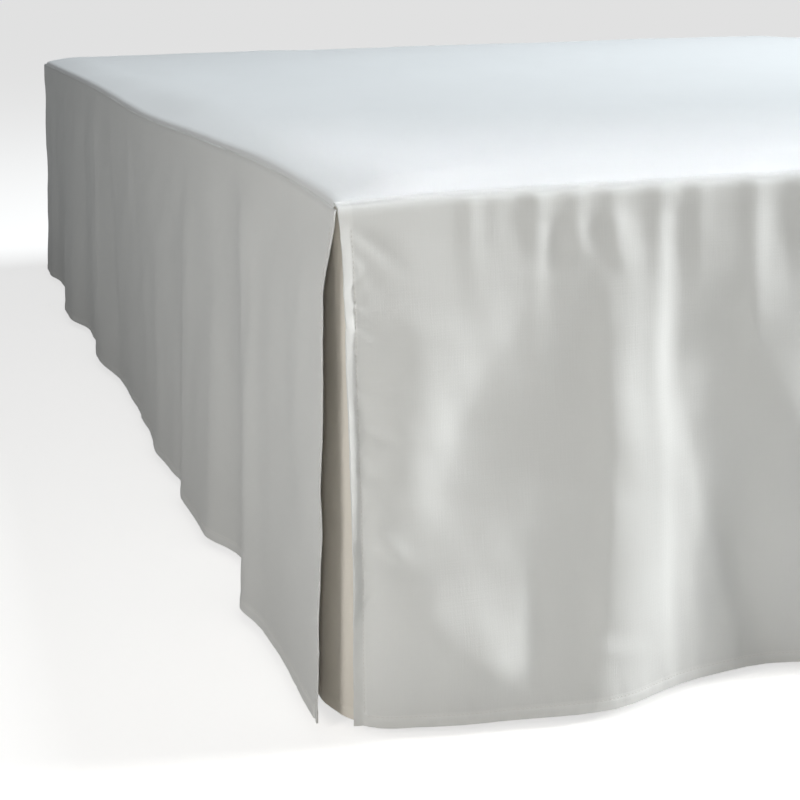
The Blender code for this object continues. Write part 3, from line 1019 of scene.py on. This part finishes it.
@dataclass
class HangingPanel:
    """A straight panel sewn to the deck's edge, with its folds, hems and stitching.

    `along` runs from its corner, and `starts_at_corner` says whether the walk round the bed, with the
    outside on the right, meets that corner first.
    """

    name: str
    corner: Vector
    along: Vector
    outward: Vector
    length: float
    places: np.ndarray
    starts_at_corner: bool
    corner_swing: float
    corner_step: float
    far_mitred: bool
    seam_inset: float
    pitch: float
    pull_reach: float
    pucker: float
    hem_weight: float
    folds: Sequence[Fold]
    gathers: Sequence[Gather]
    detail: Sequence[Crease | Dent]
    swell: Swell
    flat: tuple[float, float]

    def rows(self) -> list[Row]:
        """The panel's levels, the hem first."""
        return hanging_rows(0.0, self.seam_inset, self.pitch)

    def relief(
        self, along: np.ndarray, row_values: tuple[np.ndarray, ...], edges: tuple[np.ndarray, ...]
    ) -> np.ndarray:
        """How far the cloth stands out from the plain panel.

        Args:
            along: distance along the panel of each point.
            row_values: share of the fall, share of gathers and distance down of each level.
            edges: distance in from the near edge, the far edge and the lower edge.

        Returns:
            The distance that each point stands out.
        """
        fall, gathered, down = row_values
        near, far, below = edges
        shown = soft_step(fall / 0.04)
        total = sum(fold.stand(along, fall) for fold in self.folds)
        total = total + sum(gather.stand(along, fall) for gather in self.gathers) * gathered
        total = total + sum(mark.stand(along, fall) for mark in self.detail) * shown
        total = total + self.swell.stand(along, down) * (0.25 + 0.75 * soft_step(fall / 0.15)) * gathered
        fading = soft_step((fall + 0.010) / 0.090)
        side_hem = Hem(SIDE_HEM_WIDTH, 11, rounded=True, dip=0.0002, pucker=self.pucker, spread=0.8)
        far_hem = Hem(SIDE_HEM_WIDTH, 12, rounded=True, dip=0.0002, pucker=self.pucker)
        total = total + side_hem.stand(near, down) * fading
        total = total + far_hem.stand(far, down) * fading
        on_side = np.maximum(side_hem.mask(near), side_hem.mask(far))
        return total + Hem(HEM_WIDTH, 13).stand(below, along) * (1.0 - 0.8 * on_side) * shown

    def grid(self) -> ClothGrid:
        """Works out every point of the panel's outer face.

        Returns:
            The points and what the finish reads.
        """
        rows = self.rows()
        inset, height, fall, gathered, outwards, upwards, down = row_columns(rows)
        share = (self.places / self.places[-1])[None, :]
        if not self.starts_at_corner:
            share = share[:, ::-1]
        over = soft_step((height - ROLL_FOOT) / ROLL_RADIUS)
        step = self.corner_step + (TOP_MITRE_STEP - self.corner_step) * over if self.far_mitred else 0.0
        mitre = np.minimum(inset, SIDE_SEAM_INSET) + step
        near = mitre + self.corner_swing * fall
        far = self.length - (mitre if self.far_mitred else 0.0)
        along = near + (far - near) * share
        edges = ((far - near) * share, (far - near) * (1.0 - share), (1.0 - fall) * FALL_LENGTH + along * 0.0)
        stand = self.relief(along, (fall, gathered, down + along * 0.0), edges)
        lift = fall * stand * stand / (2.0 * DROP)
        out = stand * outwards - inset
        plan = np.array(self.corner)[None, None, :] + along[..., None] * np.array(self.along)
        plan = plan - inset[..., None] * np.array(self.outward)
        rise = top_rise(plan[..., 0], plan[..., 1]) * (1.0 - soft_step(fall / 0.5))
        up = height + lift + stand * upwards + rise
        points = np.array(self.corner)[None, None, :] + along[..., None] * np.array(self.along)
        points = points + out[..., None] * np.array(self.outward) + up[..., None] * np.array((0.0, 0.0, 1.0))
        side_hem, low_hem = Hem(SIDE_HEM_WIDTH, 11), Hem(HEM_WIDTH, 13)
        upright = np.maximum(side_hem.mask(edges[0]), side_hem.mask(edges[1])) * self.hem_weight
        hem = np.where(fall > 0.0, np.maximum(upright, low_hem.mask(edges[2])), upright)
        return ClothGrid(pulled(points, self.pull_reach), along + 0.0 * fall, down + 0.0 * along, hem)

    def stitch_lines(self, grid: ClothGrid) -> list[tuple[np.ndarray, np.ndarray]]:
        """The lines that the hems' stitches follow.

        Args:
            grid: the panel's points.

        Returns:
            For each line its points and the way that the cloth faces there.
        """
        across = np.gradient(grid.points, axis=1)
        upward = np.gradient(grid.points, axis=0)
        facing = np.cross(across, upward)
        facing /= np.linalg.norm(facing, axis=2, keepdims=True)
        rows = self.rows()
        raised = np.array([row.height - HEM_HEIGHT for row in rows])
        level = int(np.argmin(np.abs(raised - (HEM_WIDTH - STITCH_INSET))))
        hung = int(np.argmin(np.abs(raised - FALL_LENGTH)))
        places = self.places if self.starts_at_corner else self.places[::-1]
        ends = (places, places.max() - places)
        first, last = (int(np.argmin(np.abs(end - (SIDE_HEM_WIDTH - STITCH_INSET)))) for end in ends)
        low, high = min(first, last), max(first, last)
        return [
            (grid.points[level, low:high + 1], facing[level, low:high + 1]),
            (grid.points[level:hung, first], facing[level:hung, first]),
            (grid.points[level:hung, last], facing[level:hung, last]),
        ]

    def build(self) -> bpy.types.Object:
        """Returns:
            The panel.
        """
        grid = self.grid()
        panel = grid.build(f"{self.name}_cloth", PANEL_COTTON.make(), Slot.PANEL, CLOTH)
        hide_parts(self.name)
        stitches = Stitching(f"{self.name}_stitches", self.stitch_lines(grid)).build()
        log.info("%s hangs %.0f mm, %d points", panel.name, self.flat[1] * 1000.0, len(panel.data.vertices))
        return panel


@dataclass
class CornerUnderlap:
    """The strip of cloth behind one split foot corner, on the left (side -1) or the right (side 1)."""

    name: str
    side: int
    folds: Sequence[Fold]
    swell: Swell
    flat: tuple[float, float] = (0.252, 0.384)

    def line(self, reach: np.ndarray, radius: np.ndarray) -> tuple[np.ndarray, ...]:
        """The strip's line round the corner in the corner's own plan.

        Args:
            reach: share along the strip, 0 at the end of the side leg and 1 at the end of the foot leg.
            radius: the corner's radius at each level.

        Returns:
            Distance in from the side face and from the foot face, the way that it faces in the same
            terms, and the distance from the corner's middle.
        """
        centre = UNDERLAP_LAYER + radius
        straight = UNDERLAP_LEG - centre
        leg = 0.36
        half_arc = radius * math.radians(45.0)
        turn = math.radians(90.0) * np.clip((reach - leg) / (1.0 - 2.0 * leg), 0.0, 1.0)
        back = straight * np.clip(1.0 - reach / leg, 0.0, 1.0)
        onward = straight * np.clip((reach - 1.0 + leg) / leg, 0.0, 1.0)
        face_x, face_y = -np.cos(turn), -np.sin(turn)
        in_x = centre + face_x * radius + onward
        in_y = centre + face_y * radius + back
        from_middle = radius * turn - half_arc - back + onward
        return in_x, in_y, face_x, face_y, from_middle

    def build(self) -> bpy.types.Object:
        """Returns:
            The strip.
        """
        rows = hanging_rows(UNDERLAP_LAYER, UNDERLAP_SEAM_INSET, 0.0060)
        inset, height, fall, gathered, outwards, upwards, down = row_columns(rows)
        reach = np.linspace(0.0, 1.0, 97)[None, :]
        if self.side > 0:
            reach = reach[:, ::-1]
        radius = CORNER_RADIUS_TOP + (CORNER_RADIUS_HEM - CORNER_RADIUS_TOP) * fall
        in_x, in_y, face_x, face_y, from_middle = self.line(reach, radius)
        stand = sum(fold.stand(from_middle, fall) for fold in self.folds)
        stand = stand + self.swell.stand(from_middle, down) * 0.5 * soft_step(fall / 0.2)
        below = (1.0 - fall) * FALL_LENGTH + 0.0 * reach
        low_hem = Hem(HEM_WIDTH, 21, proud=0.0004)
        stand = stand + low_hem.stand(below, from_middle - from_middle.min()) * soft_step(fall / 0.04)
        out = stand * outwards - (inset - UNDERLAP_LAYER)
        plan_x = in_x + face_x * out
        plan_y = in_y + face_y * out
        up = height + fall * stand * stand / (2.0 * DROP) + stand * upwards
        place_x, place_y = self.side * (BED_WIDTH / 2 - plan_x), plan_y - BED_LENGTH / 2
        up = up + top_rise(place_x, place_y) * (1.0 - soft_step(fall / 0.5))
        points = pulled(np.stack((place_x, place_y, up), axis=2), SIDE_PULL_REACH)
        hem = np.where(fall > 0.0, low_hem.mask(below), 0.0)
        grid = ClothGrid(points, from_middle + 0.0 * fall, down + 0.0 * reach, hem)
        strip = grid.build(f"{self.name}_cloth", UNDERLAP_WARM_SHADE_COTTON.make(), Slot.UNDERLAP, CLOTH)
        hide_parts(self.name)
        log.info("%s stands behind the split", strip.name)
        return strip


@dataclass
class DeckSheet:
    """The flat sheet under the mattress, with slack that lies in low swells and edges sunk into the seams."""

    name: str = "deck_sheet"
    side_inset: float = SIDE_SEAM_INSET + SEAM_GAP
    foot_inset: float = SEAM_INSET + SEAM_GAP
    head_hem: float = 0.012
    swell: Swell = Swell(31, ((0.420, 0.0006), (0.180, 0.0004), (0.080, 0.00012)), 5)
    corner_marks: Sequence[Crease] = (
        Crease((0.030, 0.070), (0.085, 0.150), 0.0012, 0.010, 0.014),
        Crease((0.060, 0.045), (0.130, 0.085), -0.0010, 0.009, 0.012),
        Crease((0.095, 0.110), (0.150, 0.250), 0.0012, 0.014, 0.018),
    )

    def places(self, size: float) -> np.ndarray:
        """Places across the deck, close together by both edges."""
        near = graded((0.0003, 0.0003), (0.0030, 0.0009), (0.012, 0.0022), (0.120, 0.0060))
        middle = near[-1] + graded((size - 2.0 * near[-1], 0.0120))[1:-1]
        return np.concatenate((near, middle, size - near[::-1]))

    def build(self) -> bpy.types.Object:
        """Returns:
            The deck.
        """
        width = BED_WIDTH - 2.0 * self.side_inset
        length = BED_LENGTH - self.foot_inset - DECK_HEAD_MARGIN
        across = self.places(width)[None, :]
        down = self.places(length)[:, None]
        edge = np.minimum(np.minimum(across, width - across), down)
        slack = self.swell.stand(across, down)
        slack = (slack - slack.min()) * soft_step((edge - 0.004) / 0.060)
        marks = sum(mark.stand(across, down / FALL_LENGTH) for mark in self.corner_marks)
        slack = slack + marks * soft_step(edge / 0.03)
        inward = np.minimum(across, width - across)
        short = np.clip(ROLL_RADIUS - self.side_inset - inward, 0.0, ROLL_RADIUS)
        rolled = ROLL_RADIUS - np.sqrt(ROLL_RADIUS * ROLL_RADIUS - short * short)
        sink = SEAM_SINK * (1.0 - soft_step(edge / 0.0020))
        rise = top_rise(across - width / 2, down - BED_LENGTH / 2 + self.foot_inset)
        height = DROP + slack - rolled - sink + rise
        shape = np.broadcast(across, down).shape
        points = np.stack((
            np.broadcast_to(across - width / 2, shape),
            np.broadcast_to(down - BED_LENGTH / 2 + self.foot_inset, shape),
            height,
        ), axis=2)
        hem = np.broadcast_to(Hem(self.head_hem, 41).mask(length - down), shape)
        map_u, map_v = (np.broadcast_to(values, shape) for values in (across, down))
        grid = ClothGrid(pulled(points, SIDE_PULL_REACH), map_u, map_v, hem)
        deck = grid.build(self.name, DECK_COTTON.make(), Slot.DECK, CLOTH)
        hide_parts("deck")
        log.info("%s lies on the base", deck.name)
        return deck


@dataclass
class BedBase:
    """The base that the skirt fits over: a covered box with tapes along its edges."""

    tape_width: float = 0.016
    tape_proud: float = 0.0009

    def _box(self, grow: float) -> bmesh.types.BMesh:
        """The box's own shape, grown outwards by a little.

        Args:
            grow: how far each side moves out.

        Returns:
            The shape.
        """
        side, foot = (BASE_INSET - size / 2 - grow for size in (BED_WIDTH, BED_LENGTH))
        low = Vector((side, foot, BASE_TOP - BASE_HEIGHT))
        high = Vector((-low.x, BED_LENGTH / 2 - HEAD_MARGIN + min(grow, 0.0), BASE_TOP))
        bm = bmesh.new()
        bmesh.ops.create_cube(bm, size=1.0)
        size = high - low
        bmesh.ops.scale(bm, vec=size, verts=bm.verts)
        bmesh.ops.translate(bm, vec=(high + low) / 2, verts=bm.verts)
        upright = [edge for edge in bm.edges if abs(edge.verts[0].co.z - edge.verts[1].co.z) > 0.1]
        self._round(bm, upright, BASE_CORNER_RADIUS, 12)
        return bm

    @staticmethod
    def _round(bm: bmesh.types.BMesh, edges: list[bmesh.types.BMEdge], radius: float, segments: int) -> None:
        """Rounds edges of the shape."""
        bmesh.ops.bevel(bm, geom=edges, offset=radius, segments=segments, profile=0.5, affect="EDGES",
                        material=-1, clamp_overlap=True)

    def build(self) -> list[bpy.types.Object]:
        """Makes the box and its tapes.

        Returns:
            The pieces.
        """
        bm = self._box(0.0)
        rim = [edge for edge in bm.edges if all(vert.co.z > BASE_TOP - 0.001 for vert in edge.verts)]
        self._round(bm, rim, BASE_EDGE_RADIUS, 8)
        bottom = BASE_TOP - BASE_HEIGHT
        foot = [edge for edge in bm.edges if all(vert.co.z < bottom + 0.001 for vert in edge.verts)]
        self._round(bm, foot, 0.005, 3)
        for step in range(1, 13):
            for side in (-1.0, 1.0):
                self._cut(bm, (side * (BED_WIDTH / 2 - 0.0085 * step), 0.0, 0.0), (1.0, 0.0, 0.0))
        for step in (*(0.0085 * count for count in range(1, 13)), *(0.080 * count for count in range(2, 25))):
            self._cut(bm, (0.0, -BED_LENGTH / 2 + step, 0.0), (0.0, 1.0, 0.0))
        for vert in bm.verts:
            high = float(soft_step(np.array((vert.co.z - bottom) / BASE_HEIGHT)))
            vert.co.z += float(top_rise(np.array(vert.co.x), np.array(vert.co.y))) * high
        box = finish_piece("base_box", bm, BASE_BORDER.make())
        box.data.set_sharp_from_angle(angle=math.radians(35.0))
        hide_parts("foundation")
        pieces = [box]
        pieces.append(self._tape("base_tape_low", bottom + 0.006))
        pieces.append(self._tape("base_tape_high", BASE_TOP - 0.034 - self.tape_width))
        log.info("%s stands under the deck with %d tapes", box.name, len(pieces) - 1)
        return pieces

    @staticmethod
    def _cut(bm: bmesh.types.BMesh, place: Triple, way: Triple) -> None:
        """Adds a line of edges where a plane crosses the shape.

        Args:
            bm: the shape.
            place: a point of the plane.
            way: the plane's direction.
        """
        bmesh.ops.bisect_plane(bm, geom=[*bm.verts, *bm.edges, *bm.faces], dist=0.00001, plane_co=place,
                               plane_no=way)

    def _tape(self, name: str, low: float) -> bpy.types.Object:
        """A woven tape round the box.

        Args:
            name: its name.
            low: the height of its lower edge.

        Returns:
            The tape.
        """
        bm = self._box(0.00005)
        for height, way in ((low, -1.0), (low + self.tape_width, 1.0)):
            bmesh.ops.bisect_plane(bm, geom=[*bm.verts, *bm.edges, *bm.faces], plane_co=(0.0, 0.0, height),
                                   plane_no=(0.0, 0.0, way), clear_outer=True)
        tape = finish_piece(name, bm, BASE_TAPE.make())
        wall = tape.modifiers.new("tape_thickness", "SOLIDIFY")
        wall.thickness = self.tape_proud
        wall.offset = 1.0
        edge = tape.modifiers.new("tape_edges", "BEVEL")
        edge.width = 0.0003
        edge.segments = 2
        edge.limit_method = "ANGLE"
        return tape


@dataclass
class TurnedLeg:
    """One plain turned leg, with a bead under the base and a soft edge at the floor."""

    node: str
    at: tuple[float, float]
    sides: int = 48

    def build(self) -> bpy.types.Object:
        """Spins the leg's outline into a closed shape.

        Returns:
            The leg.
        """
        top = BASE_TOP - BASE_HEIGHT - SEAM_GAP
        foot = ((-0.0040, 0.0), (-0.0012, 0.0012), (0.0, 0.0040), (0.0020, 0.050))
        bead = (
            (-0.0018, 0.0200), (-0.0042, 0.0180), (-0.0042, 0.0165), (-0.0012, 0.0145), (0.0, 0.0110),
            (-0.0012, 0.0070), (-0.0036, 0.0055), (-0.0010, 0.0035), (-0.0002, 0.0),
        )
        outline = [(0.0, 0.0)]
        outline.extend((LEG_BOTTOM_RADIUS + out, height) for out, height in foot)
        outline.append((LEG_TOP_RADIUS - 0.0028, 0.105))
        outline.extend((LEG_TOP_RADIUS + out, top - below) for out, below in bead)
        outline.append((0.0, top))
        bm = bmesh.new()
        verts = [bm.verts.new((radius, 0.0, height)) for radius, height in outline]
        edges = [bm.edges.new(pair) for pair in zip(verts, verts[1:])]
        bmesh.ops.spin(bm, geom=[*verts, *edges], cent=(0.0, 0.0, 0.0), axis=(0.0, 0.0, 1.0), angle=math.tau,
                       steps=self.sides, use_merge=True)
        bmesh.ops.remove_doubles(bm, verts=bm.verts, dist=0.00001)
        bmesh.ops.recalc_face_normals(bm, faces=bm.faces)
        bmesh.ops.translate(bm, vec=(self.at[0], self.at[1], 0.0), verts=bm.verts)
        leg = finish_piece(f"{self.node}_turned", bm, LegWood().make())
        leg.data.set_sharp_from_angle(angle=math.radians(50.0))
        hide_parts(self.node)
        log.info("%s stands at %.3f, %.3f", leg.name, *self.at)
        return leg


@dataclass
class Lamp:
    """One soft studio light."""

    name: str
    at: Triple
    towards: Triple
    size: tuple[float, float]
    power: float
    colour: Triple
    spread: float = 180.0

    def build(self) -> bpy.types.Object:
        """Places the light.

        Returns:
            The light.
        """
        data = bpy.data.lights.new(self.name, "AREA")
        data.shape = "RECTANGLE"
        data.size, data.size_y = self.size
        data.energy = self.power
        data.spread = math.radians(self.spread)
        data.color = self.colour
        lamp = bpy.data.objects.new(self.name, data)
        lamp.location = self.at
        aim = Vector(self.towards) - Vector(self.at)
        lamp.rotation_euler = aim.to_track_quat("-Z", "Y").to_euler()
        bpy.context.scene.collection.objects.link(lamp)
        return lamp


STUDIO_LAMPS = (
    Lamp("key_right", at=(2.60, -1.58, 1.17), towards=(-0.6, -1.28, 0.25), size=(0.56, 0.56), power=2.9,
         colour=(1.0, 1.0, 0.99), spread=22.0),
    Lamp("top_soft", at=(1.6, -0.2, 2.9), towards=(0.0, -0.2, 0.3), size=(2.0, 2.0), power=112.0,
         colour=(0.90, 0.96, 1.0)),
    Lamp("fill_left", at=(-2.75, -1.25, 0.80), towards=(-0.76, -0.8, 0.2), size=(0.9, 0.9), power=1.4,
         colour=(1.0, 0.985, 0.96)),
    Lamp("fill_front", at=(-2.10, -1.65, 0.85), towards=(-0.76, -0.9, 0.2), size=(0.45, 0.45), power=8.0,
         colour=(1.0, 0.98, 0.95)),
    Lamp("fill_slit", at=(-1.10, -2.15, 0.56), towards=(-0.76, -1.0, 0.2), size=(0.20, 0.20), power=2.1,
         colour=(1.0, 0.93, 0.82)),
)


@dataclass
class Studio:
    """The camera at the photograph's place, a pale floor and soft light from the right."""

    camera_at: Vector = field(default_factory=lambda: Vector((-1.0281, -2.0003, 0.5216)))
    heading: float = math.radians(17.35)
    pitch: float = math.radians(15.02)
    roll: float = math.radians(-1.05)
    lens: float = 70.83
    floor_half: float = 70.0
    floor_colour: Triple = (0.68, 0.67, 0.655)
    floor_lift: float = 0.66
    sky_colour: Triple = (0.96, 0.98, 1.0)
    sky_strength: float = 0.14

    def camera(self) -> bpy.types.Object:
        """Places the camera as the photograph's.

        Returns:
            The camera.
        """
        forward = Vector((
            math.sin(self.heading) * math.cos(self.pitch),
            math.cos(self.heading) * math.cos(self.pitch),
            -math.sin(self.pitch),
        ))
        right = Vector((math.cos(self.heading), -math.sin(self.heading), 0.0))
        up = right.cross(forward)
        side = right * math.cos(self.roll) + up * math.sin(self.roll)
        top = up * math.cos(self.roll) - right * math.sin(self.roll)
        data = bpy.data.cameras.new("photo_camera")
        data.lens = self.lens
        data.sensor_width = 36.0
        data.clip_start = 0.05
        data.clip_end = 200.0
        camera = bpy.data.objects.new("photo_camera", data)
        turned = Matrix((side, top, -forward)).transposed().to_4x4()
        turned.translation = self.camera_at
        camera.matrix_world = turned
        bpy.context.scene.collection.objects.link(camera)
        bpy.context.scene.camera = camera
        return camera

    def floor(self) -> bpy.types.Object:
        """Lays the floor.

        Returns:
            The floor.
        """
        bm = bmesh.new()
        bmesh.ops.create_grid(bm, x_segments=2, y_segments=2, size=self.floor_half)
        mesh = bpy.data.meshes.new("studio_floor")
        bm.to_mesh(mesh)
        bm.free()
        kit = Paint("floor_paint", Roughness=0.9, Specular_IOR_Level=0.1)
        shade = tuple(value * 0.985 for value in self.floor_colour)
        cloud = kit.noise(kit.object_place(), (0.5, 0.5, 0.5), 2.0)
        kit.colour(kit.blend(cloud, shade, self.floor_colour))
        kit.shader.inputs["Emission Color"].default_value = (1.0, 1.0, 1.0, 1.0)
        seen = kit.add("ShaderNodeLightPath").outputs["Is Camera Ray"]
        kit.join(kit.math("MULTIPLY", seen, self.floor_lift), kit.shader.inputs["Emission Strength"])
        mesh.materials.append(kit.material)
        floor = bpy.data.objects.new("studio_floor", mesh)
        bpy.context.scene.collection.objects.link(floor)
        return floor

    def light(self) -> None:
        """Places the lights and the sky."""
        for lamp in STUDIO_LAMPS:
            lamp.build()
        world = bpy.data.worlds.new("studio_sky")
        world.use_nodes = True
        ground = world.node_tree.nodes["Background"]
        ground.inputs["Color"].default_value = (*self.sky_colour, 1.0)
        ground.inputs["Strength"].default_value = self.sky_strength
        bpy.context.scene.world = world

    def build(self) -> None:
        """Sets up the camera, the floor, the light and the plain view of colours."""
        self.camera()
        self.floor()
        self.light()
        bpy.context.scene.view_settings.view_transform = "Standard"
        log.info("The studio is lit from the right")


def panel_places(length: float, close: tuple[float, float], pitch: float) -> np.ndarray:
    """Places along a panel from its foot or left corner, close by its hems.

    Args:
        length: the panel's length.
        close: how far from the corner its folds are finer, and how far apart the places are there.
        pitch: how far apart they are beyond that.

    Returns:
        The places in order.
    """
    near = graded(*hem_stops(SIDE_HEM_WIDTH, 0.0022))
    last = length - near[-1]
    middle = graded((near[-1], near[-1]), close, (last, pitch))[2:-1]
    return np.concatenate((near, middle, length - near[::-1]))


def foot_gathers() -> tuple[Gather, ...]:
    """The gathers across the foot panel, from the left corner to the right.

    Returns:
        The gathers, no two alike.
    """
    chance = random.Random(GATHER_SEED)
    gathers = list(NEAR_GATHERS)
    at = GATHER_START_AT + chance.uniform(*GATHER_PITCHES)
    while at < BED_WIDTH - GATHER_MARGIN:
        depth = chance.uniform(*GATHER_DEPTHS)
        gathers.append(Gather(at, GATHER_SLOPE, depth, chance.uniform(*GATHER_REACHES)))
        at += chance.uniform(*GATHER_PITCHES)
    return tuple(gathers)


def long_panel(
    name: str, side: int, folds: Sequence[Fold], detail: Sequence[Crease | Dent], seed: int
) -> HangingPanel:
    """A long side's panel.

    Args:
        name: its CAD node.
        side: -1 on the left, 1 on the right.
        folds: the folds that its solid has.
        detail: its finer creases.
        seed: what its small swells start from.

    Returns:
        The panel, ready to build.
    """
    length = BED_LENGTH - HEAD_MARGIN
    return HangingPanel(
        name=name,
        corner=Vector((side * BED_WIDTH / 2, -BED_LENGTH / 2, 0.0)),
        along=Vector((0.0, 1.0, 0.0)),
        outward=Vector((float(side), 0.0, 0.0)),
        length=length,
        places=panel_places(length - FLAP_SWING, (0.42, 0.0048), 0.0066),
        starts_at_corner=side > 0,
        corner_swing=FLAP_SWING,
        corner_step=0.0,
        far_mitred=False,
        seam_inset=SIDE_SEAM_INSET,
        pitch=0.0052,
        pull_reach=SIDE_PULL_REACH,
        pucker=0.00030,
        hem_weight=0.3,
        folds=folds,
        gathers=(),
        detail=detail,
        swell=Swell(seed),
        flat=(length, DROP + 0.003),
    )


def foot_panel() -> HangingPanel:
    """The panel across the foot end, ready to build."""
    return HangingPanel(
        name="panel_foot",
        corner=Vector((-BED_WIDTH / 2, -BED_LENGTH / 2, 0.0)),
        along=Vector((1.0, 0.0, 0.0)),
        outward=Vector((0.0, -1.0, 0.0)),
        length=BED_WIDTH,
        places=panel_places(BED_WIDTH - 2.0 * MITRE_STEP, (0.45, 0.0036), 0.0047),
        starts_at_corner=True,
        corner_swing=0.0,
        corner_step=MITRE_STEP,
        far_mitred=True,
        seam_inset=SEAM_INSET,
        pitch=0.0027,
        pull_reach=FOOT_PULL_REACH,
        pucker=0.00085,
        hem_weight=1.0,
        folds=FOOT_FOLDS,
        gathers=foot_gathers(),
        detail=FOOT_DETAIL,
        swell=Swell(8, ((0.130, 0.0008), (0.062, 0.0004), (0.032, 0.00016))),
        flat=(BED_WIDTH - 2.0 * MITRE_STEP, DROP + 0.003),
    )


def main() -> None:
    """Builds the studio and every piece, and reports each."""
    logging.basicConfig(level=logging.INFO, format="%(name)s: %(message)s")
    Studio().build()
    DeckSheet().build()
    long_panel("panel_left", -1, LEFT_FOLDS, LEFT_DETAIL, 6).build()
    foot_panel().build()
    long_panel("panel_right", 1, RIGHT_FOLDS, RIGHT_DETAIL, 7).build()
    CornerUnderlap("underlap_left", -1, LEFT_UNDERLAP_FOLDS, Swell(14)).build()
    CornerUnderlap("underlap_right", 1, RIGHT_UNDERLAP_FOLDS, Swell(15)).build()
    BedBase().build()
    leg_x, leg_y = BED_WIDTH / 2 - LEG_INSET, BED_LENGTH / 2 - LEG_INSET
    for node, at in (
        ("leg_front_left", (-leg_x, -leg_y)),
        ("leg_front_right", (leg_x, -leg_y)),
        ("leg_back_left", (-leg_x, leg_y)),
        ("leg_back_right", (leg_x, leg_y)),
        ("leg_centre", (0.0, 0.0)),
    ):
        TurnedLeg(node, at).build()


if __name__ == "__main__":
    main()
